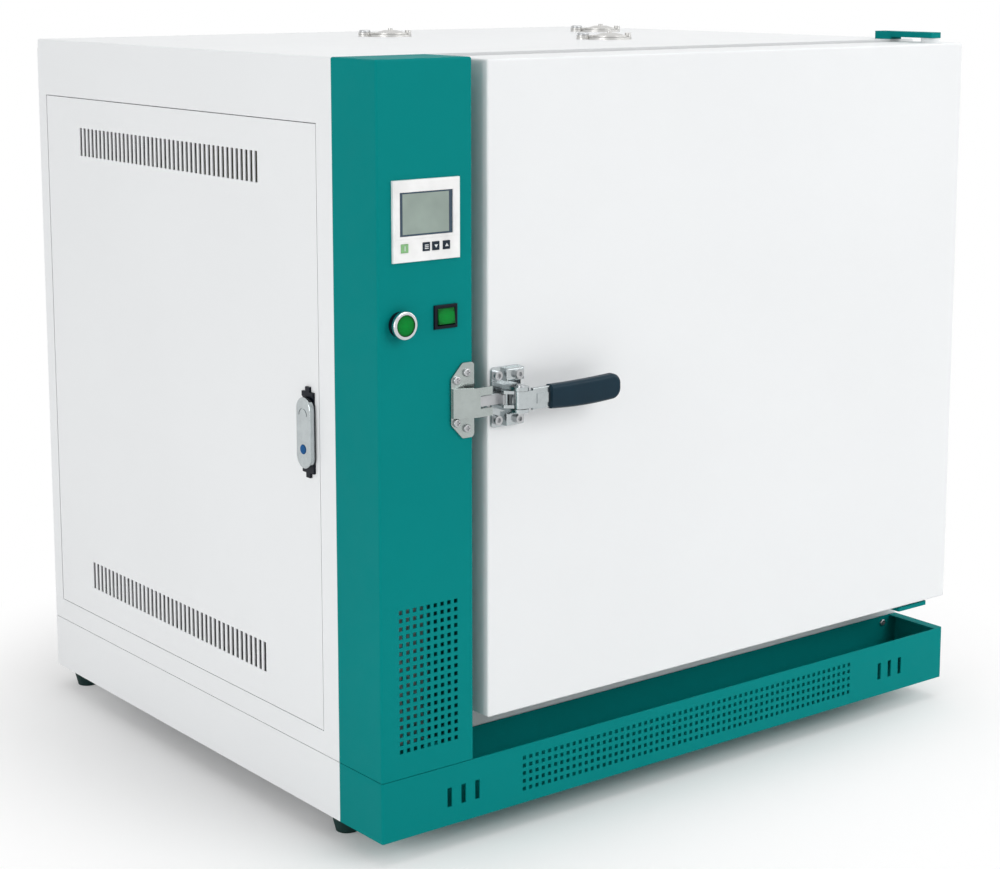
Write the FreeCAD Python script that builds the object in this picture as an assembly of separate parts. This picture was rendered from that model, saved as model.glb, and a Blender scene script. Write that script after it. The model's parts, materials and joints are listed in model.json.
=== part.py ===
import FreeCAD, Part
import math
import os

Vector = FreeCAD.Vector

# Dry heat sterilizer: a floor or bench oven with a side-hinged door, a narrow control
# column on the left and an open tray along the foot of the front.
# While it is built, X runs to the right from the casing's left face, Y runs to the back
# from the column's front face, and Z runs up from the floor. All lengths are millimetres.

# Casing
CASE_W = 900.0
CASE_D = 685.0
CASE_H = 838.0
SHEET = 1.5
BEND_R = 2.5
SKIRT_H = 68.0
FOOT_H = 28.0
SEAM = 0.8
TOP_FLANGE = 12.0
CUT_OVER = 6.0

# Column on the left of the front
COLUMN_W = 122.5
COLUMN_D = 82.0
PERF_SIDE = 4.8
PERF_PITCH = 9.1
COLUMN_PERF_COLS = 9
COLUMN_PERF_ROWS = 18
COLUMN_PERF_X = 23.7
COLUMN_PERF_Z = 28.4

# Tray along the foot of the front
TRAY_PERF_ROWS = 5
TRAY_PERF_X = 192.0
TRAY_PERF_RIGHT = 172.0
TRAY_PERF_Z = 14.0
TRAY_SLOT_W = 6.4
TRAY_SLOT_H = 22.0
TRAY_SLOT_Z = 21.0
TRAY_SLOT_PITCH = 19.1
TRAY_SLOT_COUNT = 3
TRAY_SLOT_LEFT_IN = 86.6
TRAY_SLOT_RIGHT_IN = 123.5
TRAY_FLANGE = 12.0
TRAY_SCREW_INSET = 27.5
TRAY_SCREW_Z = 59.7

# Chamber
CHAMBER_WALL = 1.2
CHAMBER_LEFT = 245.0
CHAMBER_RIGHT = 105.0
CHAMBER_LIFT = 198.5
CHAMBER_DROP = 89.5
CHAMBER_LIP_W = 38.0
CHAMBER_LIP_T = 1.0
DUCT_D = 60.0
INSULATION_T = 75.0
REAR_BAY = 98.8

# Rails that carry the chamber
RAIL_W = 40.0
RAIL_INSET = 25.0
RAIL_FRONT_Y = 150.0
RAIL_REAR_OVERLAP = 36.0

# Opening behind the column for the wiring
WIRE_PORT_X = 22.0
WIRE_PORT_W = 80.0
WIRE_PORT_Z = 300.0
WIRE_PORT_DROP = 110.0

# Door of the chamber
DOOR_GAP = 19.0
DOOR_SIDE_INSET = 1.0
DOOR_LIFT = 112.0
DOOR_DROP = 3.0
DOOR_PROUD = 2.0
SEAL_GAP = 10.0
FILL_CLEAR = 1.0
PLUG_H = 4.0
PLUG_INSET = 5.0
GASKET_W = 25.0
GASKET_OUT = 5.0
GASKET_EDGE_R = 4.0
SOFT_CLEAR = 0.3

# Hinges of the door
HINGE_FROM_SIDE = 28.0
HINGE_FROM_REAR = 45.0
HINGE_PIN_R = 4.0
HINGE_PIN_LENGTH = 22.0
HINGE_RUN = 0.05
HINGE_PLATE_T = 5.0
HINGE_PLATE_RIGHT = 6.5
HINGE_PLATE_CORNER_R = 2.5
HINGE_BAR_LEFT = 13.0
HINGE_BAR_FRONT = 12.0
HINGE_BAR_REACH = 27.0
HINGE_BAR_RAISE = 3.0
HINGE_BAR_T = 7.0
HINGE_BAR_SCREW_INSET = 7.0
HINGE_BAR_RECESS_R = 5.0
HINGE_FOOT_LEFT = 47.0
HINGE_FOOT_FRONT = 18.0
HINGE_FLANGE_H = 28.0
HINGE_SCREW_PITCH = 28.0
BUSH_R = 7.0
BUSH_RIM_R = 12.0
BUSH_CLEAR = 0.3

# Screws of the cabinet
SCREW_HEAD_R = 4.5
SCREW_HEAD_H = 3.0
SCREW_EDGE_R = 1.4
SCREW_R = 2.5
SCREW_LENGTH = 6.0
SCREW_SLOT_W = 1.2
SCREW_SLOT_DEPTH = 1.3
SCREW_SLOT_SHARE = 0.62

# Keeper of the door latch
LATCH_DROP = 366.0
KEEPER_W = 30.5
KEEPER_HALF_H = 41.0
KEEPER_RISE = 1.5
KEEPER_T = 2.5
KEEPER_CORNER_X = 15.0
KEEPER_CORNER_Z = 16.0
KEEPER_CORNER_R = 4.0
KEEPER_SCREW_SPREAD_X = (6.6, 20.0)
KEEPER_SCREW_SPREAD_Z = (23.2, 30.4)
STRAP_HALF_H = 16.0
STRAP_T = 2.5
STRAP_INSET = 1.0
STRAP_FOOT = 5.0
STRAP_RAMP = 22.0
STRAP_RISE = 13.0
STRAP_REACH = 15.0
STRAP_WINDOW_L = 16.0
STRAP_WINDOW_HALF_H = 7.0

# Base of the door latch
BASE_INSET = 2.5
BASE_W = 40.0
BASE_HALF_H = 33.0
BASE_T = 3.0
BASE_CORNER_R = 4.0
GUIDE_W = 24.0
GUIDE_NEAR = 17.5
GUIDE_FAR = 31.5
GUIDE_T = 7.0
GUIDE_EDGE_R = 2.0
EAR_NEAR = 10.0
EAR_T = 4.0
EAR_R = 9.0
PIVOT_FROM_EDGE = 24.5
PIVOT_OUT = 26.0
PIVOT_PIN_R = 3.0
PIVOT_HEAD_R = 4.6
PIVOT_HEAD_H = 2.0
PIVOT_RUN = 0.05
BOLT_HEAD_R = 5.0
BOLT_HEAD_H = 5.0
BOLT_SOCKET_R = 2.6
BOLT_SOCKET_DEPTH = 2.5
BOLT_SHANK_R = 2.5
BOLT_NEAR_X = 6.5
BOLT_FAR_X = 30.0
BOLT_Z = 24.5

# Lever, grip and tongue of the door latch
KNUCKLE_R = 8.0
KNUCKLE_HALF_H = 9.5
CRANK_R = 16.0
CRANK_ANGLE = 135.0
CRANK_PIN_R = 2.0
CRANK_ARM_T = 3.5
CRANK_ARM_R = 4.5
BAR_T = 4.0
BAR_HALF_H = 12.0
BAR_START = 10.5
BAR_LENGTH = 40.0
BAR_EDGE_R = 1.2
TANG_LENGTH = 28.0
TANG_HALF_H = 7.0
PAD_INSET = 16.0
PAD_W = 16.0
PAD_HALF_H = 5.5
PAD_T = 0.8
GRIP_LENGTH = 99.0
GRIP_LAP = 5.7
GRIP_HALF_T = 6.5
GRIP_EDGE_R = 4.5
GRIP_TIP_R = 12.0
GRIP_X_SHARES = (0.0, 0.5, 1.0)
GRIP_TOP_HEIGHTS = (13.2, 13.5, 15.8)
GRIP_BOTTOM_DEPTHS = (13.2, 15.2, 12.5)
TONGUE_HALF_H = 5.5
TONGUE_NOSE_T = 6.0
TONGUE_NOSE_R = 4.0
TONGUE_CLEAR = 1.5
TONGUE_HOLD = 19.5
TONGUE_BLOCK_W = 13.0
TONGUE_BLOCK_T = 13.0
NOTCH_CLEAR = 0.7

# Service door on the left side
SERVICE_FRONT = 30.0
SERVICE_REAR = 21.0
SERVICE_LOW = 95.5
SERVICE_DROP = 70.5
SERVICE_GAP = 1.0
SERVICE_REAR_GAP = 2.0
SERVICE_DEPTH = 12.0
SERVICE_AXIS_X = 6.0
SERVICE_AXIS_IN = 12.0
STUD_R = 2.5
STUD_REACH = 4.0
STOP_DEPTH = 15.0
STOP_REACH = 9.0
LOUVRE_W = 5.6
LOUVRE_H = 35.0
LOUVRE_PITCH = 10.2
LOUVRE_FRONT = 121.0
LOUVRE_REAR = 90.0
LOUVRE_LOW = 132.0
LOUVRE_DROP = 143.0

# Latch of the service door
SIDE_LATCH_IN = 19.0
SIDE_LATCH_LIFT = 430.5
SIDE_PLATE_HALF_W = 11.0
SIDE_PLATE_HALF_H = 45.0
SIDE_PLATE_T = 3.0
SIDE_STEM_HALF_W = 4.0
SIDE_STEM_HALF_H = 50.5
SIDE_BODY_HALF_W = 9.0
SIDE_BODY_HALF_H = 33.0
SIDE_BODY_DEPTH = 24.0
SIDE_LEVER_HALF_W = 14.0
SIDE_LEVER_HALF_H = 39.5
SIDE_LEVER_T = 5.5
SIDE_LEVER_GAP = 0.4
SIDE_LEVER_EDGE_R = 1.5
SIDE_PIVOT_DROP = 3.0
SIDE_PIVOT_R = 1.8
SIDE_PIVOT_HALF_W = 4.0
SIDE_PIVOT_NECK = 1.2
SIDE_PIVOT_CLEAR = 0.3
SIDE_RELIEF_R = 4.5
SIDE_GROOVE_W = 1.4
SIDE_GROOVE_DEPTH = 1.0
SIDE_GROOVE_DROP = 13.0
SIDE_BUTTON_R = 5.2
SIDE_BUTTON_DROP = 18.0
SIDE_BUTTON_PROUD = 0.8
SIDE_BUTTON_CLEAR = 0.3
SIDE_BUTTON_TRAVEL = 2.0
SIDE_BOLT_T = 4.0
SIDE_BOLT_HALF_H = 12.0
SIDE_BOLT_LENGTH = 34.0
SIDE_BOLT_CLEAR = 0.5

# Controller in the column
CONTROL_X = 18.0
CONTROL_SIDE = 85.6
CONTROL_ABOVE = 114.0
CONTROL_BEZEL_T = 4.0
CONTROL_EDGE_R = 1.2
CONTROL_BODY_INSET = 3.0
CONTROL_BODY_DEPTH = 62.0
DISPLAY_X = 8.0
DISPLAY_W = 68.5
DISPLAY_LIFT = 27.0
DISPLAY_H = 46.0
DISPLAY_RECESS = 1.6
DISPLAY_T = 1.6
DISPLAY_SEAM_DROP = 3.2
DISPLAY_SEAM_W = 0.5
KEY_SIDE = 9.0
KEY_LIFT = 14.9
KEY_XS = (13.6, 41.2, 53.4, 67.2)
KEY_PROUD = 0.9
KEY_T = 2.6
KEY_CLEAR = 0.25
KEY_POCKET = 3.0

# Round push button
BUTTON_X = 27.0
BUTTON_ABOVE = 49.5
BUTTON_COLLAR_R = 13.5
BUTTON_COLLAR_T = 8.0
BUTTON_SHANK_R = 11.0
BUTTON_SHANK_LENGTH = 45.0
BUTTON_RING_R = 15.0
BUTTON_RING_T = 4.5
BUTTON_CAP_R = 11.2
BUTTON_CAP_T = 4.0
BUTTON_CAP_CLEAR = 0.3
BUTTON_TRAVEL = 3.0
BUTTON_FLOOR = 0.5

# Square rocker switch
SWITCH_X = 71.0
SWITCH_W = 30.0
SWITCH_ABOVE = 39.5
SWITCH_H = 25.5
SWITCH_BEZEL_T = 2.5
SWITCH_BODY_INSET = 1.5
SWITCH_BODY_DEPTH = 28.0
SWITCH_RIM = 3.4
SWITCH_CLEAR = 0.8
SWITCH_POCKET = 10.0
SWITCH_TILT = 6.0
SWITCH_CAP_T = 6.0
SWITCH_CAP_PROUD = 1.0
SWITCH_TRUNNION_R = 1.6
SWITCH_TRUNNION_REACH = 2.0

# Exhaust ports on the top
VENT_LEFT_IN = 165.5
VENT_LEFT_BEHIND = 28.0
VENT_FRONT_IN = 325.5
VENT_FRONT_BACK = 218.0
VENT_RIGHT_IN = 30.5
VENT_RIGHT_BEHIND = 13.0
VENT_DUCT_R = 19.0
VENT_DUCT_WALL = 1.5
VENT_FLANGE_R = 28.0
VENT_FLANGE_T = 3.0
VENT_ARM = 34.0
VENT_ARM_ANGLE = 142.0
VENT_BOSS_R = 8.5
VENT_COVER_R = 23.5
VENT_COVER_T = 2.0
VENT_DOME_R = 19.0
VENT_DOME_H = 3.0
VENT_DOME_TOP_R = 9.0
VENT_NUB_R = 3.0
VENT_NUB_H = 2.5
VENT_TAB_R = 4.0
VENT_LINK_HALF_W = 5.0
VENT_SCREW_R = 3.0
VENT_KNOB_R = 7.5
VENT_KNOB_H = 3.0
VENT_RUN = 0.3

# Fan, heater, baffle and probe
FAN_R = 85.0
FAN_HUB_R = 14.0
FAN_EYE_R = 55.0
FAN_BLADES = 20
FAN_BLADE_T = 1.5
FAN_DISC_T = 1.5
FAN_FRONT_GAP = 12.0
FAN_WIDTH = 30.0
SHAFT_R = 5.0
SHAFT_HOLE_R = 8.0
MOTOR_R = 55.0
MOTOR_LENGTH = 76.0
MOTOR_FLANGE = 66.0
MOTOR_FLANGE_T = 4.0
MOTOR_PLATE_T = 2.0
MOTOR_SOCKET = 26.0
MOTOR_FINS = 7
MOTOR_FIN_W = 3.0
MOTOR_FIN_DEPTH = 3.0
MOTOR_FIN_PITCH = 9.0
HEATER_RS = (104.0, 126.0)
HEATER_TUBE_R = 4.5
HEATER_LEG_R = 3.5
HEATER_Y = 28.0
HEATER_LEG_ANGLE = 8.0
HEATER_LEG_OUT = 20.0
HEATER_CLEAR = 0.3
BAFFLE_T = 1.2
BAFFLE_HOLE_R = 5.0
BAFFLE_RINGS = 5
BAFFLE_RING_PITCH = 16.0
BAFFLE_SLOT_W = 40.0
BAFFLE_SLOT_H = 8.0
BAFFLE_SLOT_INSET = 30.0
BAFFLE_SLOT_MARGIN = 60.0
BAFFLE_SLOT_PITCH = 38.0
PROBE_R = 3.0
PROBE_NUT_R = 9.0
PROBE_NUT_T = 10.0
PROBE_TAIL = 14.0
PROBE_REACH = 70.0
PROBE_Y = 240.0
PROBE_RISE = 231.5

# Shelves and their racks
RACK_PITCH = 70.0
RACK_FIRST = 70.0
RACK_LAST = 40.0
RACK_T = 2.0
RACK_LEDGE = 14.0
RACK_POST_W = 20.0
RACK_POST_FRONT = 60.0
RACK_POST_REAR = 60.0
RACK_LEDGE_INSET = 24.0
SHELF_LEVELS = (1, 4)
SHELF_SIDE_GAP = 5.0
SHELF_FRONT = 13.0
SHELF_REAR = 17.0
SHELF_BAR = 6.0
SHELF_WIRE_R = 1.5
SHELF_WIRE_PITCH = 16.0
SHELF_CROSS_R = 2.0
SHELF_REST = 0.3

# Electrical bay on the left
PLATE_X = 128.0
PLATE_T = 2.0
PLATE_FOOT = 18.0
PLATE_FRONT_IN = 60.0
PLATE_REAR_IN = 125.0
PLATE_DROP = 182.4

# Rear cover and power gland
REAR_SLOT_W = 60.0
REAR_SLOT_H = 5.0
REAR_SLOT_COLS = 4
REAR_SLOT_ROWS = 8
REAR_SLOT_PITCH_X = 84.0
REAR_SLOT_PITCH_Z = 13.0
REAR_SLOT_LOW = 150.0
REAR_SLOT_DROP = 198.0
REAR_SCREW_INSET = 12.0
REAR_SCREW_ROWS = 4
GLAND_X = 110.0
GLAND_LIFT = 130.0
GLAND_BORE_R = 5.5
GLAND_BODY_R = 8.0
GLAND_NUT_R = 12.5
GLAND_NUT_T = 8.0
GLAND_DOME_R = 10.0
GLAND_DOME_T = 12.0
GLAND_INSIDE = 14.0
GLAND_EDGE_R = 2.5

# Levelling feet
FOOT_R = 13.0
FOOT_TOP_R = 18.0
FOOT_PAD_H = 20.0
FOOT_STUD_R = 5.0
FOOT_NUT_R = 9.0
FOOT_NUT_H = 7.0
FOOT_STUD_ABOVE = 12.0
FOOT_INSET_X = 32.0
FOOT_INSET_FRONT = 34.0
FOOT_INSET_REAR = 22.0

# Places worked out from the sizes above
CASE_FRONT = COLUMN_D
CASE_BACK = COLUMN_D + CASE_D
SKIRT_TOP = FOOT_H + SKIRT_H
PANEL_BOTTOM = SKIRT_TOP + SEAM
CASE_TOP = FOOT_H + CASE_H
PANEL_TOP = CASE_TOP - TOP_FLANGE
CHAMBER_X0 = CHAMBER_LEFT
CHAMBER_X1 = CASE_W - CHAMBER_RIGHT
CHAMBER_Z0 = FOOT_H + CHAMBER_LIFT
CHAMBER_Z1 = CASE_TOP - CHAMBER_DROP
CHAMBER_BACK = CASE_BACK - REAR_BAY - INSULATION_T - CHAMBER_WALL
BAFFLE_Y = CHAMBER_BACK - DUCT_D
INSULATION_X0 = CHAMBER_X0 - CHAMBER_WALL - INSULATION_T
INSULATION_X1 = CHAMBER_X1 + CHAMBER_WALL + INSULATION_T
INSULATION_Z0 = CHAMBER_Z0 - CHAMBER_WALL - INSULATION_T
INSULATION_Z1 = CHAMBER_Z1 + CHAMBER_WALL + INSULATION_T
INSULATION_BACK = CHAMBER_BACK + CHAMBER_WALL + INSULATION_T
DOOR_X0 = COLUMN_W + DOOR_GAP
DOOR_X1 = CASE_W - DOOR_SIDE_INSET
DOOR_Y0 = -DOOR_PROUD
DOOR_Y1 = CASE_FRONT - SEAL_GAP
DOOR_Z0 = FOOT_H + DOOR_LIFT
DOOR_Z1 = CASE_TOP - DOOR_DROP
HINGE_X = DOOR_X1 - HINGE_FROM_SIDE
HINGE_Y = DOOR_Y1 - HINGE_FROM_REAR
HINGE_GAP = DOOR_DROP + HINGE_BAR_RAISE
LATCH_Z = CASE_TOP - LATCH_DROP
KEEPER_X0 = COLUMN_W - KEEPER_W
STRAP_X0 = KEEPER_X0 + STRAP_INSET
STRAP_X1 = STRAP_X0 + STRAP_RAMP + STRAP_T
STRAP_END = COLUMN_W + STRAP_REACH
STRAP_INNER_Y = -STRAP_RISE
PIVOT_X = DOOR_X0 + PIVOT_FROM_EDGE
PIVOT_Y = DOOR_Y0 - PIVOT_OUT
BASE_X0 = DOOR_X0 + BASE_INSET
BASE_X1 = BASE_X0 + BASE_W
BASE_FACE_Y = DOOR_Y0 - BASE_T
CRANK_X = PIVOT_X + CRANK_R * math.cos(math.radians(CRANK_ANGLE))
CRANK_Y = PIVOT_Y + CRANK_R * math.sin(math.radians(CRANK_ANGLE))
TONGUE_TRAVEL = 2 * (PIVOT_X - CRANK_X)
BAR_OUTER_Y = PIVOT_Y - KNUCKLE_R
BAR_INNER_Y = BAR_OUTER_Y + BAR_T
BAR_END = PIVOT_X + BAR_LENGTH
GRIP_START = BAR_END - GRIP_LAP
GRIP_Y = (BAR_OUTER_Y + BAR_INNER_Y) / 2
SERVICE_Y0 = CASE_FRONT + SERVICE_FRONT
SERVICE_Y1 = CASE_BACK - SERVICE_REAR
SERVICE_Z0 = FOOT_H + SERVICE_LOW
SERVICE_Z1 = CASE_TOP - SERVICE_DROP
SERVICE_AXIS_Y = SERVICE_Y1 - SERVICE_AXIS_IN
PANEL_Y0 = SERVICE_Y0 + SERVICE_GAP
PANEL_Y1 = SERVICE_Y1 - SERVICE_REAR_GAP
PANEL_Z0 = SERVICE_Z0 + SERVICE_GAP
PANEL_Z1 = SERVICE_Z1 - SERVICE_GAP
SIDE_LATCH_Y = PANEL_Y0 + SIDE_LATCH_IN
SIDE_LATCH_Z = FOOT_H + SIDE_LATCH_LIFT
SIDE_LEVER_X1 = -(SIDE_PLATE_T + SIDE_LEVER_GAP)
SIDE_LEVER_X0 = SIDE_LEVER_X1 - SIDE_LEVER_T
SIDE_PIVOT_X = (SIDE_LEVER_X0 + SIDE_LEVER_X1) / 2
SIDE_PIVOT_Z = SIDE_LATCH_Z + SIDE_LEVER_HALF_H - SIDE_PIVOT_DROP
SIDE_BUTTON_Z = SIDE_LATCH_Z - SIDE_BUTTON_DROP
SIDE_BOLT_X0 = STOP_DEPTH + SIDE_BOLT_CLEAR
SIDE_BOLT_X1 = SIDE_BOLT_X0 + SIDE_BOLT_T
SIDE_BOLT_Y0 = PANEL_Y0 + SHEET
KEEPER_Z = LATCH_Z + KEEPER_RISE
KEEPER_TOP = KEEPER_Z + KEEPER_HALF_H
CONTROL_Z = KEEPER_TOP + CONTROL_ABOVE
BUTTON_Z = KEEPER_TOP + BUTTON_ABOVE
SWITCH_Z = KEEPER_TOP + SWITCH_ABOVE
SWITCH_AXIS_Y = SWITCH_CAP_T / 2
SWITCH_AXIS_Z = SWITCH_Z + SWITCH_H / 2
FAN_X = (CHAMBER_X0 + CHAMBER_X1) / 2
FAN_Z = (CHAMBER_Z0 + CHAMBER_Z1) / 2
FAN_Y = BAFFLE_Y + BAFFLE_T + FAN_FRONT_GAP
FAN_BACK = FAN_Y + FAN_WIDTH
MOTOR_Y = INSULATION_BACK + MOTOR_PLATE_T
VENT_PLACES = ((CHAMBER_X0 + VENT_LEFT_IN, BAFFLE_Y + VENT_LEFT_BEHIND),
               (CHAMBER_X0 + VENT_FRONT_IN, CASE_FRONT + VENT_FRONT_BACK),
               (CHAMBER_X1 - VENT_RIGHT_IN, BAFFLE_Y + VENT_RIGHT_BEHIND))
PROBE_Z = CHAMBER_Z0 + PROBE_RISE
VENT_COVER_Z = CASE_TOP + VENT_FLANGE_T + VENT_RUN
GLAND_Z = FOOT_H + GLAND_LIFT
GLAND_END = CASE_BACK + GLAND_NUT_T + GLAND_DOME_T
FOOT_XS = (FOOT_INSET_X, CASE_W - FOOT_INSET_X)
FOOT_YS = (CASE_FRONT + FOOT_INSET_FRONT, CASE_BACK - FOOT_INSET_REAR)
RAIL_YS = (RAIL_FRONT_Y, INSULATION_BACK - RAIL_REAR_OVERLAP)
SHELF_X0 = CHAMBER_X0 + SHELF_SIDE_GAP
SHELF_X1 = CHAMBER_X1 - SHELF_SIDE_GAP
SHELF_Y0 = CASE_FRONT + SHELF_FRONT
SHELF_Y1 = BAFFLE_Y - SHELF_REAR


def box(x0, x1, y0, y1, z0, z1):
    """Block between two X, two Y and two Z planes."""
    return Part.makeBox(x1 - x0, y1 - y0, z1 - z0, Vector(x0, y0, z0))


def rod(radius, start, end):
    """Round bar between two points."""
    run = end - start
    return Part.makeCylinder(radius, run.Length, start, run)


def rod_x(radius, x0, x1, y, z):
    """Round bar along X."""
    return rod(radius, Vector(x0, y, z), Vector(x1, y, z))


def rod_y(radius, y0, y1, x, z):
    """Round bar along Y."""
    return rod(radius, Vector(x, y0, z), Vector(x, y1, z))


def rod_z(radius, z0, z1, x, y):
    """Round bar along Z."""
    return rod(radius, Vector(x, y, z0), Vector(x, y, z1))


def fuse(shapes):
    """One solid from shapes that touch or overlap."""
    return shapes[0].fuse(shapes[1:]).removeSplitter()


def hollow(x0, x1, y0, y1, z0, z1, wall, *open_sides):
    """Inside of a sheet box, run past its faces on the open sides."""
    def edge(place, side, step):
        return place - step * CUT_OVER if side in open_sides else place + step * wall

    return box(edge(x0, "left", 1), edge(x1, "right", -1),
               edge(y0, "front", 1), edge(y1, "back", -1),
               edge(z0, "bottom", 1), edge(z1, "top", -1))


def fitting(length, pitch):
    """Number of features that a length holds at a pitch, one at its start."""
    return int(length / pitch) + 1


def lies_at(edge, place):
    """True for an edge that lies on every plane that the place names."""
    span = edge.BoundBox
    limits = {"x": (span.XMin, span.XMax), "y": (span.YMin, span.YMax), "z": (span.ZMin, span.ZMax)}
    near = SHEET / CUT_OVER
    return all(abs(limit - where) < near for axis, where in place.items() for limit in limits[axis])


def rounded(shape, radius, *places):
    """Shape with the edges that lie at the named places rounded."""
    edges = [edge for edge in shape.Edges if any(lies_at(edge, place) for place in places)]
    return shape.makeFillet(radius, edges)


def prism(points, run):
    """Straight-sided prism on a closed outline."""
    outline = Part.makePolygon(list(points) + [points[0]])
    return Part.Face(outline).extrude(run)


def stadium(half_w, half_h, x0, x1, y, z):
    """Upright slot shape with round ends, extruded along X."""
    straight = half_h - half_w
    ends = [rod_x(half_w, x0, x1, y, z + side * straight) for side in (-1, 1)]
    return fuse([box(x0, x1, y - half_w, y + half_w, z - straight, z + straight)] + ends)


def screw(place, outward):
    """Pan-head screw whose head sits on the place and whose shank goes in."""
    head = Part.makeCylinder(SCREW_HEAD_R, SCREW_HEAD_H, place, outward)
    rim = [edge for edge in head.Edges
           if edge.Length > SCREW_HEAD_R and (edge.CenterOfMass - place).dot(outward) > SCREW_HEAD_H / 2]
    head = head.makeFillet(SCREW_EDGE_R, rim[:1])
    shank = Part.makeCylinder(SCREW_R, SCREW_LENGTH, place, -outward)
    reach = SCREW_HEAD_R * SCREW_SLOT_SHARE
    floor = SCREW_HEAD_H - SCREW_SLOT_DEPTH
    arms = []
    for long_x, long_y in ((reach, SCREW_SLOT_W / 2), (SCREW_SLOT_W / 2, reach)):
        arm = box(-long_x, long_x, -long_y, long_y, floor, SCREW_HEAD_H + CUT_OVER)
        arm.Placement = FreeCAD.Placement(place, FreeCAD.Rotation(Vector(0, 0, 1), outward))
        arms.append(arm)
    return head.fuse(shank).cut(arms)


def screw_hole(place, outward):
    """Hole that the shank of a screw at the place goes through."""
    return Part.makeCylinder(SCREW_R, SCREW_LENGTH, place, -outward)


OUT_FRONT = Vector(0, -1, 0)
OUT_BACK = Vector(0, 1, 0)
OUT_TOP = Vector(0, 0, 1)


def keeper_screw_places():
    """Screws of the keeper, two above and two below its strap."""
    places = []
    for across, rise in zip(KEEPER_SCREW_SPREAD_X, KEEPER_SCREW_SPREAD_Z):
        for side in (-1, 1):
            places.append(Vector(KEEPER_X0 + across, -KEEPER_T, KEEPER_Z + side * rise))
    return places


def upper_hinge_screw_places():
    """Screws in the recesses of the upper hinge bar, behind the front of the top panel."""
    x = HINGE_X + (HINGE_PLATE_RIGHT - HINGE_BAR_LEFT) / 2
    ys = (CASE_FRONT + HINGE_BAR_SCREW_INSET, CASE_FRONT + HINGE_BAR_REACH - HINGE_BAR_SCREW_INSET)
    return [Vector(x, y, CASE_TOP + HINGE_BAR_RAISE) for y in ys]


def lower_hinge_plate_top():
    """Top face of the lower hinge plate, as far below the door as the upper bar is above it."""
    return DOOR_Z0 - HINGE_GAP


def lower_hinge_screw_places():
    """Screws that hold the lower hinge plate's flange on the back of the front frame."""
    z = lower_hinge_plate_top() - HINGE_PLATE_T - HINGE_FLANGE_H / 2
    middle = HINGE_X + (HINGE_PLATE_RIGHT - HINGE_FOOT_LEFT) / 2
    xs = (middle - HINGE_SCREW_PITCH / 2, middle + HINGE_SCREW_PITCH / 2)
    return [Vector(x, CASE_FRONT + SHEET + HINGE_PLATE_T, z) for x in xs]


def tray_screw_places():
    """Screws that hold the tray's back wall on the base."""
    xs = (CASE_W - TRAY_SCREW_INSET, TRAY_SCREW_INSET)
    return [Vector(x, CASE_FRONT - SHEET, FOOT_H + TRAY_SCREW_Z) for x in xs]


def rear_screw_places():
    """Screws down the two sides of the rear cover."""
    low = PANEL_BOTTOM + REAR_SCREW_INSET
    step = (PANEL_TOP - REAR_SCREW_INSET - low) / (REAR_SCREW_ROWS - 1)
    xs = (SHEET + REAR_SCREW_INSET, CASE_W - SHEET - REAR_SCREW_INSET)
    return [Vector(x, CASE_BACK, low + row * step) for x in xs for row in range(REAR_SCREW_ROWS)]


def cabinet_screws():
    """All the like screws of the cabinet, each a solid of its own."""
    screws = [screw(place, OUT_FRONT) for place in keeper_screw_places() + tray_screw_places()]
    screws += [screw(place, OUT_TOP) for place in upper_hinge_screw_places()]
    screws += [screw(place, OUT_BACK) for place in lower_hinge_screw_places() + rear_screw_places()]
    return Part.makeCompound(screws)


def base_frame():
    """Skirt and floor of the casing, with two channel rails that carry the chamber."""
    sides = (0, CASE_W, CASE_FRONT, CASE_BACK, FOOT_H, SKIRT_TOP)
    pan = box(*sides).cut(hollow(*sides, SHEET, "top"))
    rails = []
    for y in RAIL_YS:
        rail = (RAIL_INSET, CASE_W - RAIL_INSET, y, y + RAIL_W, FOOT_H + SHEET, INSULATION_Z0)
        rails.append(box(*rail).cut(hollow(*rail, PLATE_T, "bottom", "left", "right")))
    frame = fuse([pan] + rails)
    holes = [rod_z(FOOT_STUD_R, FOOT_H - CUT_OVER, FOOT_H + CUT_OVER, x, y) for x in FOOT_XS for y in FOOT_YS]
    holes += [screw_hole(place, OUT_FRONT) for place in tray_screw_places()]
    return frame.cut(holes)


def levelling_feet():
    """Four rubber feet, each with its stud and lock nut."""
    feet = []
    for x in FOOT_XS:
        for y in FOOT_YS:
            pad = Part.makeCone(FOOT_R, FOOT_TOP_R, FOOT_PAD_H, Vector(x, y, 0))
            stud = rod_z(FOOT_STUD_R, FOOT_PAD_H, FOOT_H + FOOT_STUD_ABOVE, x, y)
            nut = hexagon(FOOT_NUT_R, FOOT_H - FOOT_NUT_H, FOOT_H, x, y)
            feet.append(fuse([pad, stud, nut]))
    return Part.makeCompound(feet)


def hexagon(radius, z0, z1, x, y):
    """Hexagon prism that stands on a level plane."""
    points = []
    for corner in range(6):
        angle = math.radians(60 * corner)
        points.append(Vector(x + radius * math.cos(angle), y + radius * math.sin(angle), z0))
    return prism(points, Vector(0, 0, z1 - z0))


def vent_pivots():
    """Swivel points of the exhaust covers."""
    angle = math.radians(VENT_ARM_ANGLE)
    return [(x + VENT_ARM * math.cos(angle), y + VENT_ARM * math.sin(angle)) for x, y in VENT_PLACES]


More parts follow.
